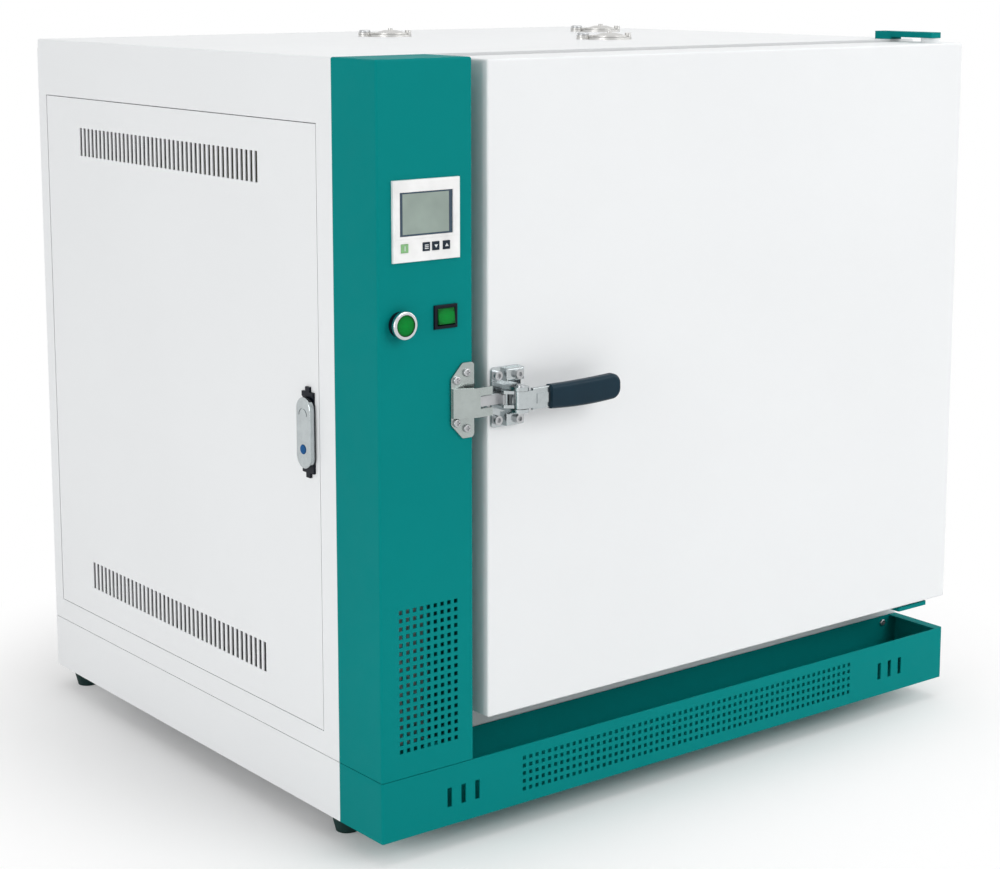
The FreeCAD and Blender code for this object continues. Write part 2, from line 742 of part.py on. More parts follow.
def top_panel():
    """Top of the casing, folded down along its edges, with a hole for each exhaust duct."""
    sides = (0, CASE_W, CASE_FRONT, CASE_BACK, PANEL_TOP, CASE_TOP)
    edges = ({"x": 0, "z": CASE_TOP}, {"x": CASE_W, "z": CASE_TOP}, {"y": CASE_BACK, "z": CASE_TOP},
             {"x": 0, "y": CASE_BACK}, {"x": CASE_W, "y": CASE_BACK})
    panel = rounded(box(*sides), BEND_R, *edges).cut(hollow(*sides, SHEET, "bottom", "front"))
    holes = [rod_z(VENT_DUCT_R, PANEL_TOP, CASE_TOP + CUT_OVER, x, y) for x, y in VENT_PLACES]
    holes += [screw_hole(place, OUT_TOP) for place in upper_hinge_screw_places()]
    return panel.cut(holes)


def right_side_panel():
    """Plain right side of the casing."""
    return box(CASE_W - SHEET, CASE_W, CASE_FRONT, CASE_BACK, PANEL_BOTTOM, PANEL_TOP)


def left_side_frame():
    """Left side of the casing: a plate round the service door, with a lip, a stop and hinge studs."""
    plate = box(0, SHEET, CASE_FRONT, CASE_BACK, PANEL_BOTTOM, PANEL_TOP)
    lip = box(0, SERVICE_DEPTH, SERVICE_Y0 - SHEET, SERVICE_Y1 + SHEET,
              SERVICE_Z0 - SHEET, SERVICE_Z1 + SHEET)
    front = box(0, STOP_DEPTH, SERVICE_Y0 - SHEET, SERVICE_Y0, SERVICE_Z0 - SHEET, SERVICE_Z1 + SHEET)
    opening = box(-CUT_OVER, SERVICE_DEPTH + CUT_OVER, SERVICE_Y0, SERVICE_Y1, SERVICE_Z0, SERVICE_Z1)
    stop = box(STOP_DEPTH - SHEET, STOP_DEPTH, SERVICE_Y0 - SHEET, SERVICE_Y0 + STOP_REACH,
               SERVICE_Z0, SERVICE_Z1)
    low = rod_z(STUD_R, SERVICE_Z0 - SHEET, SERVICE_Z0 + STUD_REACH, SERVICE_AXIS_X, SERVICE_AXIS_Y)
    high = rod_z(STUD_R, SERVICE_Z1 - STUD_REACH, SERVICE_Z1 + SHEET, SERVICE_AXIS_X, SERVICE_AXIS_Y)
    return fuse([fuse([plate, lip, front]).cut(opening), stop, low, high])


def front_frame():
    """Front plate of the casing, with the chamber's opening and the port for the wiring."""
    plate = box(SHEET, CASE_W - SHEET, CASE_FRONT, CASE_FRONT + SHEET, PANEL_BOTTOM, CASE_TOP - SHEET)
    opening = box(CHAMBER_X0 - CHAMBER_WALL, CHAMBER_X1 + CHAMBER_WALL,
                  CASE_FRONT - CUT_OVER, CASE_FRONT + CUT_OVER,
                  CHAMBER_Z0 - CHAMBER_WALL, CHAMBER_Z1 + CHAMBER_WALL)
    port = box(WIRE_PORT_X, WIRE_PORT_X + WIRE_PORT_W, CASE_FRONT - CUT_OVER, CASE_FRONT + CUT_OVER,
               WIRE_PORT_Z, CASE_TOP - WIRE_PORT_DROP)
    slot = box(HINGE_X - HINGE_FOOT_LEFT, HINGE_X + HINGE_PLATE_RIGHT,
               CASE_FRONT - CUT_OVER, CASE_FRONT + CUT_OVER,
               lower_hinge_plate_top() - HINGE_PLATE_T, lower_hinge_plate_top())
    holes = [screw_hole(place, OUT_BACK) for place in lower_hinge_screw_places()]
    return plate.cut([opening, port, slot] + holes)


def rear_cover():
    """Back of the casing, with two fields of slots and the hole for the power gland."""
    plate = box(SHEET, CASE_W - SHEET, CASE_BACK - SHEET, CASE_BACK, PANEL_BOTTOM, PANEL_TOP)
    span = (CASE_BACK - CUT_OVER, CASE_BACK + CUT_OVER)
    tools = [rod_y(GLAND_BODY_R, *span, GLAND_X, GLAND_Z)]
    left = CASE_W / 2 - (REAR_SLOT_COLS * REAR_SLOT_PITCH_X) / 2
    for low in (FOOT_H + REAR_SLOT_LOW, CASE_TOP - REAR_SLOT_DROP):
        for col in range(REAR_SLOT_COLS):
            for row in range(REAR_SLOT_ROWS):
                x = left + col * REAR_SLOT_PITCH_X
                z = low + row * REAR_SLOT_PITCH_Z
                tools.append(box(x, x + REAR_SLOT_W, *span, z, z + REAR_SLOT_H))
    tools += [screw_hole(place, OUT_BACK) for place in rear_screw_places()]
    return plate.cut(tools)


def power_gland():
    """Cable gland in the rear cover, bored right through."""
    body = rod_y(GLAND_BODY_R, CASE_BACK - GLAND_INSIDE, CASE_BACK, GLAND_X, GLAND_Z)
    nut = hexagon(GLAND_NUT_R, 0, GLAND_NUT_T, 0, 0)
    turned = FreeCAD.Rotation(OUT_TOP, OUT_BACK)
    nut.Placement = FreeCAD.Placement(Vector(GLAND_X, CASE_BACK, GLAND_Z), turned)
    dome = rod_y(GLAND_DOME_R, CASE_BACK + GLAND_NUT_T, GLAND_END, GLAND_X, GLAND_Z)
    dome = rounded(dome, GLAND_EDGE_R, {"y": GLAND_END})
    bore = rod_y(GLAND_BORE_R, CASE_BACK - GLAND_INSIDE - CUT_OVER, GLAND_END + CUT_OVER, GLAND_X, GLAND_Z)
    return fuse([body, nut, dome]).cut(bore)


def heater_leg_places():
    """Places in the XZ plane where the heater rings' legs leave to the back."""
    places = []
    for radius in HEATER_RS:
        for side in (-1, 1):
            angle = math.radians(-90 + side * HEATER_LEG_ANGLE)
            places.append((FAN_X + radius * math.cos(angle), FAN_Z + radius * math.sin(angle)))
    return places


def inner_chamber():
    """Stainless chamber, open at the front, with a lip that the door's gasket meets."""
    inside = (CHAMBER_X0, CHAMBER_X1, CASE_FRONT, CHAMBER_BACK, CHAMBER_Z0, CHAMBER_Z1)
    wall = CHAMBER_WALL
    shell = box(CHAMBER_X0 - wall, CHAMBER_X1 + wall, CASE_FRONT, CHAMBER_BACK + wall,
                CHAMBER_Z0 - wall, CHAMBER_Z1 + wall)
    lip = box(CHAMBER_X0 - CHAMBER_LIP_W, CHAMBER_X1 + CHAMBER_LIP_W, CASE_FRONT - CHAMBER_LIP_T, CASE_FRONT,
              CHAMBER_Z0 - CHAMBER_LIP_W, CHAMBER_Z1 + CHAMBER_LIP_W)
    tools = [hollow(*inside, 0, "front")]
    tools += [rod_z(VENT_DUCT_R, CHAMBER_Z1 - CUT_OVER, CHAMBER_Z1 + CUT_OVER, x, y) for x, y in VENT_PLACES]
    back = (CHAMBER_BACK - CUT_OVER, CHAMBER_BACK + CUT_OVER)
    tools.append(rod_y(SHAFT_HOLE_R, *back, FAN_X, FAN_Z))
    tools += [rod_y(HEATER_LEG_R + HEATER_CLEAR, *back, x, z) for x, z in heater_leg_places()]
    tools.append(probe_hole(PROBE_R))
    return fuse([shell, lip]).cut(tools)


def probe_hole(radius):
    """Bore through the chamber's left wall for the temperature probe."""
    return rod_x(radius, INSULATION_X0 - CUT_OVER, CHAMBER_X0 + CUT_OVER,
                 CASE_FRONT + PROBE_Y, PROBE_Z)


def insulation():
    """Mineral wool round the chamber, open at the front."""
    wool = box(INSULATION_X0, INSULATION_X1, CASE_FRONT + SHEET, INSULATION_BACK,
               INSULATION_Z0, INSULATION_Z1)
    wall = CHAMBER_WALL
    tools = [box(CHAMBER_X0 - wall, CHAMBER_X1 + wall, CASE_FRONT - CUT_OVER, CHAMBER_BACK + wall,
                 CHAMBER_Z0 - wall, CHAMBER_Z1 + wall)]
    tools += [rod_z(VENT_DUCT_R, CHAMBER_Z1, CASE_TOP, x, y) for x, y in VENT_PLACES]
    back = (CHAMBER_BACK, INSULATION_BACK + CUT_OVER)
    tools.append(rod_y(SHAFT_HOLE_R, *back, FAN_X, FAN_Z))
    tools += [rod_y(HEATER_LEG_R + HEATER_CLEAR, *back, x, z) for x, z in heater_leg_places()]
    tools.append(probe_hole(PROBE_R))
    return wool.cut(tools)


def fan_baffle():
    """Perforated plate in front of the fan."""
    plate = box(CHAMBER_X0, CHAMBER_X1, BAFFLE_Y, BAFFLE_Y + BAFFLE_T, CHAMBER_Z0, CHAMBER_Z1)
    span = (BAFFLE_Y - CUT_OVER, BAFFLE_Y + CUT_OVER)
    tools = [rod_y(BAFFLE_HOLE_R, *span, FAN_X, FAN_Z)]
    for ring in range(1, BAFFLE_RINGS + 1):
        for step in range(6 * ring):
            angle = 2 * math.pi * step / (6 * ring)
            radius = ring * BAFFLE_RING_PITCH
            x = FAN_X + radius * math.cos(angle)
            tools.append(rod_y(BAFFLE_HOLE_R, *span, x, FAN_Z + radius * math.sin(angle)))
    rows = fitting(CHAMBER_Z1 - CHAMBER_Z0 - 2 * BAFFLE_SLOT_MARGIN, BAFFLE_SLOT_PITCH)
    low = FAN_Z - BAFFLE_SLOT_PITCH * (rows - 1) / 2
    for x in (CHAMBER_X0 + BAFFLE_SLOT_INSET, CHAMBER_X1 - BAFFLE_SLOT_INSET - BAFFLE_SLOT_W):
        for row in range(rows):
            z = low + row * BAFFLE_SLOT_PITCH
            tools.append(box(x, x + BAFFLE_SLOT_W, *span, z - BAFFLE_SLOT_H / 2, z + BAFFLE_SLOT_H / 2))
    return plate.cut(tools)


def heater_elements():
    """Two tubular heater rings round the fan, each with two legs to the back."""
    rings = []
    y = BAFFLE_Y + HEATER_Y
    legs = heater_leg_places()
    for index, radius in enumerate(HEATER_RS):
        ring = Part.makeTorus(radius, HEATER_TUBE_R, Vector(FAN_X, y, FAN_Z), OUT_BACK)
        pair = legs[2 * index:2 * index + 2]
        tails = [rod_y(HEATER_LEG_R, y, MOTOR_Y + HEATER_LEG_OUT, x, z) for x, z in pair]
        rings.append(fuse([ring] + tails))
    return Part.makeCompound(rings)


def temperature_probe():
    """Sheathed probe with its nut, through the chamber's left wall."""
    y = CASE_FRONT + PROBE_Y
    sheath = rod_x(PROBE_R, INSULATION_X0 - PROBE_NUT_T - PROBE_TAIL, CHAMBER_X0 + PROBE_REACH, y, PROBE_Z)
    nut = rod_x(PROBE_NUT_R, INSULATION_X0 - PROBE_NUT_T, INSULATION_X0, y, PROBE_Z)
    return fuse([sheath, nut])


def fan_shaft():
    """Shaft from the motor through the back of the chamber."""
    return rod_y(SHAFT_R, FAN_Y, MOTOR_Y + MOTOR_SOCKET, FAN_X, FAN_Z)


def fan_impeller():
    """Radial impeller: hub, back disc, front ring and blades."""
    hub = rod_y(FAN_HUB_R, FAN_Y + FAN_DISC_T, FAN_BACK, FAN_X, FAN_Z)
    disc = rod_y(FAN_R, FAN_BACK - FAN_DISC_T, FAN_BACK, FAN_X, FAN_Z)
    ring = rod_y(FAN_R, FAN_Y, FAN_Y + FAN_DISC_T, FAN_X, FAN_Z)
    ring = ring.cut(rod_y(FAN_EYE_R + FAN_HUB_R, FAN_Y - CUT_OVER, FAN_Y + CUT_OVER, FAN_X, FAN_Z))
    blades = []
    for index in range(FAN_BLADES):
        blade = box(FAN_EYE_R, FAN_R - FAN_DISC_T, FAN_Y, FAN_BACK, -FAN_BLADE_T / 2, FAN_BLADE_T / 2)
        blade.rotate(Vector(0, 0, 0), OUT_BACK, 360 * index / FAN_BLADES)
        blade.translate(Vector(FAN_X, 0, FAN_Z))
        blades.append(blade)
    bore = rod_y(SHAFT_R, FAN_Y - CUT_OVER, FAN_BACK + CUT_OVER, FAN_X, FAN_Z)
    return fuse([hub, disc, ring] + blades).cut(bore)


def motor_plate():
    """Sheet behind the insulation that carries the motor."""
    plate = box(INSULATION_X0, INSULATION_X1, INSULATION_BACK, MOTOR_Y, INSULATION_Z0, INSULATION_Z1)
    span = (INSULATION_BACK - CUT_OVER, MOTOR_Y + CUT_OVER)
    tools = [rod_y(SHAFT_HOLE_R, *span, FAN_X, FAN_Z)]
    tools += [rod_y(HEATER_LEG_R + HEATER_CLEAR, *span, x, z) for x, z in heater_leg_places()]
    return plate.cut(tools)


def fan_motor():
    """Finned motor with a square flange and a socket for the shaft."""
    flange = box(FAN_X - MOTOR_FLANGE, FAN_X + MOTOR_FLANGE, MOTOR_Y, MOTOR_Y + MOTOR_FLANGE_T,
                 FAN_Z - MOTOR_FLANGE, FAN_Z + MOTOR_FLANGE)
    body = rod_y(MOTOR_R, MOTOR_Y, MOTOR_Y + MOTOR_LENGTH, FAN_X, FAN_Z)
    tools = []
    for fin in range(MOTOR_FINS):
        y = MOTOR_Y + MOTOR_FLANGE_T + MOTOR_FIN_W + fin * MOTOR_FIN_PITCH
        core = rod_y(MOTOR_R - MOTOR_FIN_DEPTH, y - CUT_OVER, y + CUT_OVER + MOTOR_FIN_W, FAN_X, FAN_Z)
        tools.append(rod_y(MOTOR_R + CUT_OVER, y, y + MOTOR_FIN_W, FAN_X, FAN_Z).cut(core))
    socket = MOTOR_Y + MOTOR_SOCKET + MOTOR_FIN_W
    tools.append(rod_y(SHAFT_R + HINGE_RUN, MOTOR_Y - CUT_OVER, socket, FAN_X, FAN_Z))
    return fuse([flange, body]).cut(tools)


def rack_level(level):
    """Height of the upper face of a rack's ledge."""
    return CHAMBER_Z0 + RACK_FIRST + level * RACK_PITCH


def rack_levels():
    """Number of ledges that fit up the chamber."""
    return fitting(CHAMBER_Z1 - CHAMBER_Z0 - RACK_FIRST - RACK_LAST, RACK_PITCH)


def shelf_racks():
    """Ledges up the two sides of the chamber, on two posts each."""
    racks = []
    top = rack_level(rack_levels() - 1) + RACK_POST_W
    ledge_span = (CASE_FRONT + RACK_LEDGE_INSET, BAFFLE_Y - RACK_LEDGE_INSET)
    for wall, inward in ((CHAMBER_X0, 1), (CHAMBER_X1, -1)):
        def strip(width, *span):
            across = sorted((wall, wall + inward * width))
            return box(*across, *span)

        pieces = []
        for y in (CASE_FRONT + RACK_POST_FRONT, BAFFLE_Y - RACK_POST_REAR):
            pieces.append(strip(RACK_T, y, y + RACK_POST_W, CHAMBER_Z0, top))
        for level in range(rack_levels()):
            z = rack_level(level)
            pieces.append(strip(RACK_LEDGE, *ledge_span, z - RACK_T, z))
        racks.append(fuse(pieces))
    return Part.makeCompound(racks)


def shelf(level):
    """Wire shelf that lies on the ledges of one level."""
    z = rack_level(level) + SHELF_REST
    frame = box(SHELF_X0, SHELF_X1, SHELF_Y0, SHELF_Y1, z, z + SHELF_BAR)
    frame = rounded(frame, SHELF_BAR, *[{"x": x, "y": y} for x in (SHELF_X0, SHELF_X1)
                                        for y in (SHELF_Y0, SHELF_Y1)])
    inside = box(SHELF_X0 + SHELF_BAR, SHELF_X1 - SHELF_BAR, SHELF_Y0 + SHELF_BAR, SHELF_Y1 - SHELF_BAR,
                 z - CUT_OVER, z + SHELF_BAR + CUT_OVER)
    frame = frame.cut(inside)
    reach = SHELF_BAR / 2
    wires = []
    spaces = fitting(SHELF_X1 - SHELF_X0, SHELF_WIRE_PITCH)
    pitch = (SHELF_X1 - SHELF_X0) / spaces
    upper = z + SHELF_BAR - SHELF_WIRE_R
    for index in range(1, spaces):
        wires.append(rod_y(SHELF_WIRE_R, SHELF_Y0 + reach, SHELF_Y1 - reach, SHELF_X0 + index * pitch, upper))
    middle = (SHELF_Y0 + SHELF_Y1) / 2
    cross = rod_x(SHELF_CROSS_R, SHELF_X0 + reach, SHELF_X1 - reach, middle, upper - SHELF_WIRE_R)
    return fuse([frame, cross] + wires)


def perforations(cols, rows, x, z):
    """Field of square holes through a front wall, from its lower left hole."""
    holes = []
    for col in range(cols):
        for row in range(rows):
            left = x + col * PERF_PITCH
            low = z + row * PERF_PITCH
            holes.append(box(left, left + PERF_SIDE, -CUT_OVER, SHEET + CUT_OVER, low, low + PERF_SIDE))
    return holes


def column_cover():
    """Control column: folded sheet, open to the casing and to the tray."""
    sides = (0, COLUMN_W, 0, COLUMN_D, PANEL_BOTTOM, CASE_TOP)
    edges = ({"x": 0, "y": 0}, {"x": COLUMN_W, "y": 0}, {"y": 0, "z": CASE_TOP},
             {"x": 0, "z": CASE_TOP}, {"x": COLUMN_W, "z": CASE_TOP})
    cover = rounded(box(*sides), BEND_R, *edges).cut(hollow(*sides, SHEET, "bottom", "back"))
    tools = perforations(COLUMN_PERF_COLS, COLUMN_PERF_ROWS, COLUMN_PERF_X, SKIRT_TOP + COLUMN_PERF_Z)
    tools.append(control_body(SHEET + CUT_OVER, CUT_OVER))
    tools.append(rod_y(BUTTON_SHANK_R, -CUT_OVER, SHEET + CUT_OVER, BUTTON_X, BUTTON_Z))
    tools.append(switch_body(SHEET + CUT_OVER, CUT_OVER))
    tools += [screw_hole(place, OUT_FRONT) for place in keeper_screw_places()]
    return cover.cut(tools)


def front_tray():
    """Walls of the trough along the foot of the front, with perforations, slots and end flanges."""
    sides = (0, CASE_W, 0, CASE_FRONT, FOOT_H, SKIRT_TOP)
    tray = rounded(box(*sides), BEND_R, {"x": 0, "y": 0}, {"x": CASE_W, "y": 0})
    tray = tray.cut(hollow(*sides, SHEET, "top", "bottom"))
    flanges = []
    for x0, x1 in ((SHEET, SHEET + TRAY_FLANGE), (CASE_W - SHEET - TRAY_FLANGE, CASE_W - SHEET)):
        flanges.append(box(x0, x1, SHEET, CASE_FRONT - SHEET, SKIRT_TOP - SHEET, SKIRT_TOP))
    cols = fitting(CASE_W - TRAY_PERF_X - TRAY_PERF_RIGHT - PERF_SIDE, PERF_PITCH)
    tools = perforations(cols, TRAY_PERF_ROWS, TRAY_PERF_X, FOOT_H + TRAY_PERF_Z)
    for first in (TRAY_SLOT_LEFT_IN, CASE_W - TRAY_SLOT_RIGHT_IN):
        for index in range(TRAY_SLOT_COUNT):
            x = first + index * TRAY_SLOT_PITCH
            z = FOOT_H + TRAY_SLOT_Z
            tools.append(box(x, x + TRAY_SLOT_W, -CUT_OVER, SHEET + CUT_OVER, z, z + TRAY_SLOT_H))
    tools += [screw_hole(place, OUT_FRONT) for place in tray_screw_places()]
    return fuse([tray] + flanges).cut(tools)


def tray_floor():
    """Flat floor of the trough, inside its walls."""
    return box(SHEET, CASE_W - SHEET, SHEET, CASE_FRONT - SHEET, FOOT_H, FOOT_H + SHEET)


def control_body(y1, run_out=0):
    """Rear body of the controller, or the cutout that it goes through."""
    inset = CONTROL_BODY_INSET
    return box(CONTROL_X + inset, CONTROL_X + CONTROL_SIDE - inset, -run_out, y1,
               CONTROL_Z + inset, CONTROL_Z + CONTROL_SIDE - inset)


def display_window(y0, y1):
    """Window of the controller's display."""
    return box(CONTROL_X + DISPLAY_X, CONTROL_X + DISPLAY_X + DISPLAY_W, y0, y1,
               CONTROL_Z + DISPLAY_LIFT, CONTROL_Z + DISPLAY_LIFT + DISPLAY_H)


def key_block(index, half_side, y0, y1):
    """Square block on the centre line of a key."""
    x = CONTROL_X + KEY_XS[index]
    z = CONTROL_Z + KEY_LIFT
    return box(x - half_side, x + half_side, y0, y1, z - half_side, z + half_side)


def controller_housing():
    """Bezel and body of the controller, with a window and a pocket for each key."""
    face = -CONTROL_BEZEL_T
    right, top = CONTROL_X + CONTROL_SIDE, CONTROL_Z + CONTROL_SIDE
    bezel = rounded(box(CONTROL_X, right, face, 0, CONTROL_Z, top), CONTROL_EDGE_R,
                    {"x": CONTROL_X, "y": face}, {"x": right, "y": face},
                    {"y": face, "z": CONTROL_Z}, {"y": face, "z": top})
    tools = [display_window(face - CUT_OVER, face + DISPLAY_RECESS + DISPLAY_T)]
    for index in range(len(KEY_XS)):
        tools.append(key_block(index, KEY_SIDE / 2 + KEY_CLEAR, face - CUT_OVER, face + KEY_POCKET))
    seam = CONTROL_Z + DISPLAY_LIFT - DISPLAY_SEAM_DROP
    tools.append(box(CONTROL_X - CUT_OVER, right + CUT_OVER, face - CUT_OVER, face + DISPLAY_SEAM_W,
                     seam, seam + DISPLAY_SEAM_W))
    return fuse([bezel, control_body(CONTROL_BODY_DEPTH)]).cut(tools)


def controller_display():
    """Display glass, set back in its window."""
    face = DISPLAY_RECESS - CONTROL_BEZEL_T
    return display_window(face, face + DISPLAY_T)


def controller_key(index):
    """One key of the controller, proud of the bezel, with its edges eased."""
    face = -CONTROL_BEZEL_T - KEY_PROUD
    key = key_block(index, KEY_SIDE / 2, face, face + KEY_T)
    return rounded(key, KEY_PROUD / 2, {"y": face})


def start_button_barrel():
    """Black barrel of the push button, with a pocket for the cap."""
    collar = rod_y(BUTTON_COLLAR_R, -BUTTON_COLLAR_T, 0, BUTTON_X, BUTTON_Z)
    shank = rod_y(BUTTON_SHANK_R, 0, BUTTON_SHANK_LENGTH, BUTTON_X, BUTTON_Z)
    floor = BUTTON_TRAVEL + BUTTON_FLOOR - BUTTON_COLLAR_T
    pocket = rod_y(BUTTON_CAP_R + BUTTON_CAP_CLEAR, -BUTTON_COLLAR_T - CUT_OVER, floor, BUTTON_X, BUTTON_Z)
    return fuse([collar, shank]).cut(pocket)


def start_button_ring():
    """Bright ring on the front of the push button's barrel."""
    front = -BUTTON_COLLAR_T - BUTTON_RING_T
    ring = rod_y(BUTTON_RING_R, front, -BUTTON_COLLAR_T, BUTTON_X, BUTTON_Z)
    ring = rounded(ring, BUTTON_RING_T / 3, {"y": front})
    bore = rod_y(BUTTON_CAP_R + BUTTON_CAP_CLEAR, front - CUT_OVER, CUT_OVER, BUTTON_X, BUTTON_Z)
    return ring.cut(bore)


def start_button_cap():
    """Green cap of the push button."""
    front = -BUTTON_COLLAR_T - BUTTON_CAP_T
    cap = rod_y(BUTTON_CAP_R, front, -BUTTON_COLLAR_T, BUTTON_X, BUTTON_Z)
    return rounded(cap, BUTTON_CAP_T / 5, {"y": front})


def switch_body(y1, run_out=0):
    """Rear body of the rocker switch, or the cutout that it goes through."""
    inset = SWITCH_BODY_INSET
    return box(SWITCH_X + inset, SWITCH_X + SWITCH_W - inset, -run_out, y1,
               SWITCH_Z + inset, SWITCH_Z + SWITCH_H - inset)


def power_switch_bezel():
    """Black bezel and body of the rocker switch."""
    bezel = box(SWITCH_X, SWITCH_X + SWITCH_W, -SWITCH_BEZEL_T, 0, SWITCH_Z, SWITCH_Z + SWITCH_H)
    bezel = rounded(bezel, SWITCH_BEZEL_T / 3, {"y": -SWITCH_BEZEL_T})
    pocket = box(SWITCH_X + SWITCH_RIM, SWITCH_X + SWITCH_W - SWITCH_RIM,
                 -SWITCH_BEZEL_T - CUT_OVER, SWITCH_POCKET,
                 SWITCH_Z + SWITCH_RIM, SWITCH_Z + SWITCH_H - SWITCH_RIM)
    socket = switch_trunnion(HINGE_RUN)
    return fuse([bezel, switch_body(SWITCH_BODY_DEPTH)]).cut([pocket, socket])


def switch_trunnion(clear=0):
    """Round bar across the rocker on its axis, or the sockets that its ends turn in."""
    reach = SWITCH_RIM + SWITCH_CLEAR - SWITCH_TRUNNION_REACH - clear
    return rod_x(SWITCH_TRUNNION_R + clear, SWITCH_X + reach, SWITCH_X + SWITCH_W - reach,
                 SWITCH_AXIS_Y, SWITCH_AXIS_Z)


def power_switch_rocker():
    """Green rocker, tilted to its off side at rest."""
    rim = SWITCH_RIM + SWITCH_CLEAR
    front = -SWITCH_BEZEL_T - SWITCH_CAP_PROUD
    rocker = box(SWITCH_X + rim, SWITCH_X + SWITCH_W - rim, front, front + SWITCH_CAP_T + SWITCH_BEZEL_T,
                 SWITCH_Z + rim, SWITCH_Z + SWITCH_H - rim)
    rocker = rounded(rocker, SWITCH_CLEAR, {"y": front})
    rocker.rotate(Vector(SWITCH_X, SWITCH_AXIS_Y, SWITCH_AXIS_Z), Vector(1, 0, 0), -SWITCH_TILT)
    return rocker.fuse(switch_trunnion())


def hinge_plate(left, front, y1, z0, thick):
    """Flat hinge plate with rounded front corners, as far left and in front of the pin as told."""
    x0 = HINGE_X - left
    x1 = HINGE_X + HINGE_PLATE_RIGHT
    y0 = HINGE_Y - front
    plate = box(x0, x1, y0, y1, z0, z0 + thick)
    return rounded(plate, HINGE_PLATE_CORNER_R, {"x": x0, "y": y0}, {"x": x1, "y": y0})


def hinge_plate_upper():
    """Bar raised over the top panel and the door, with its foot, two screw recesses and the pin."""
    under = CASE_TOP + HINGE_BAR_RAISE
    back = CASE_FRONT + HINGE_BAR_REACH
    bar = hinge_plate(HINGE_BAR_LEFT, HINGE_BAR_FRONT, back, under, HINGE_BAR_T)
    foot = box(HINGE_X - HINGE_BAR_LEFT, HINGE_X + HINGE_PLATE_RIGHT, CASE_FRONT, back, CASE_TOP, under)
    pin = rod_z(HINGE_PIN_R, DOOR_Z1 - HINGE_PIN_LENGTH, under + HINGE_BAR_T / 2, HINGE_X, HINGE_Y)
    tools = []
    for place in upper_hinge_screw_places():
        tools += [screw_hole(place, OUT_TOP),
                  rod_z(HINGE_BAR_RECESS_R, place.z, place.z + HINGE_BAR_T + CUT_OVER, place.x, place.y)]
    return fuse([bar, foot, pin]).cut(tools)


def hinge_plate_lower():
    """Angle that comes through the front frame under the door, with the lower pin."""
    top = lower_hinge_plate_top()
    back = CASE_FRONT + SHEET
    plate = hinge_plate(HINGE_FOOT_LEFT, HINGE_FOOT_FRONT, back + HINGE_PLATE_T, top - HINGE_PLATE_T,
                        HINGE_PLATE_T)
    flange = box(HINGE_X - HINGE_FOOT_LEFT, HINGE_X + HINGE_PLATE_RIGHT, back, back + HINGE_PLATE_T,
                 top - HINGE_PLATE_T - HINGE_FLANGE_H, top - HINGE_PLATE_T)
    pin = rod_z(HINGE_PIN_R, top - HINGE_PLATE_T / 2, DOOR_Z0 + HINGE_PIN_LENGTH, HINGE_X, HINGE_Y)
    angle = fuse([plate, flange, pin])
    return angle.cut([screw_hole(place, OUT_BACK) for place in lower_hinge_screw_places()])


def hinge_bushes():
    """Rimmed bushes in the top and the bottom of the door."""
    depth = HINGE_PIN_LENGTH + BUSH_CLEAR
    bushes = []
    for face, out in ((DOOR_Z1, 1), (DOOR_Z0, -1)):
        rim_end = face + out * (HINGE_GAP - BUSH_CLEAR)
        sleeve = rod_z(BUSH_R, face - out * depth, face, HINGE_X, HINGE_Y)
        rim = rod_z(BUSH_RIM_R, face, rim_end, HINGE_X, HINGE_Y)
        bore = rod_z(HINGE_PIN_R + HINGE_RUN, face - out * (depth + CUT_OVER), rim_end + out * CUT_OVER,
                     HINGE_X, HINGE_Y)
        bushes.append(fuse([sleeve, rim]).cut(bore))
    return Part.makeCompound(bushes)


def latch_bolt_places():
    """Bolts of the latch base: two on its plate and two on its guide blocks."""
    places = []
    for across, face in ((BOLT_NEAR_X, BASE_FACE_Y), (BOLT_FAR_X, BASE_FACE_Y - GUIDE_T)):
        for side in (-1, 1):
            places.append(Vector(BASE_X0 + across, face, LATCH_Z + side * BOLT_Z))
    return places


def door_skin():
    """Front and folded sides of the door."""
    sides = (DOOR_X0, DOOR_X1, DOOR_Y0, DOOR_Y1, DOOR_Z0, DOOR_Z1)
    edges = [{"x": x, "y": DOOR_Y0} for x in (DOOR_X0, DOOR_X1)]
    edges += [{"y": DOOR_Y0, "z": z} for z in (DOOR_Z0, DOOR_Z1)]
    edges += [{"x": x, "z": z} for x in (DOOR_X0, DOOR_X1) for z in (DOOR_Z0, DOOR_Z1)]
    skin = rounded(box(*sides), BEND_R, *edges).cut(hollow(*sides, SHEET, "back"))
    tools = [rod_z(BUSH_R, z - SHEET - SEAM, z + SHEET + SEAM, HINGE_X, HINGE_Y) for z in (DOOR_Z0, DOOR_Z1)]
    tools += [rod_y(BOLT_SHANK_R, DOOR_Y0 - CUT_OVER, DOOR_Y0 + CUT_OVER, place.x, place.z)
              for place in latch_bolt_places()]
    return skin.cut(tools)


def round_opening(gap, y0, y1):
    """Block that reaches one distance out from the edges of the chamber's opening."""
    return box(CHAMBER_X0 - gap, CHAMBER_X1 + gap, y0, y1, CHAMBER_Z0 - gap, CHAMBER_Z1 + gap)


def door_liner():
    """Stainless back of the door, with a pressed plug inside the gasket."""
    sheet = box(DOOR_X0 + SHEET, DOOR_X1 - SHEET, DOOR_Y1 - SHEET, DOOR_Y1, DOOR_Z0 + SHEET, DOOR_Z1 - SHEET)
    face = DOOR_Y1 + PLUG_H
    plug = rounded(round_opening(-PLUG_INSET, DOOR_Y1 - SHEET, face), BEND_R, {"y": face})
    return fuse([sheet, plug]).cut(round_opening(-PLUG_INSET - SHEET, DOOR_Y1 - CUT_OVER, face - SHEET))


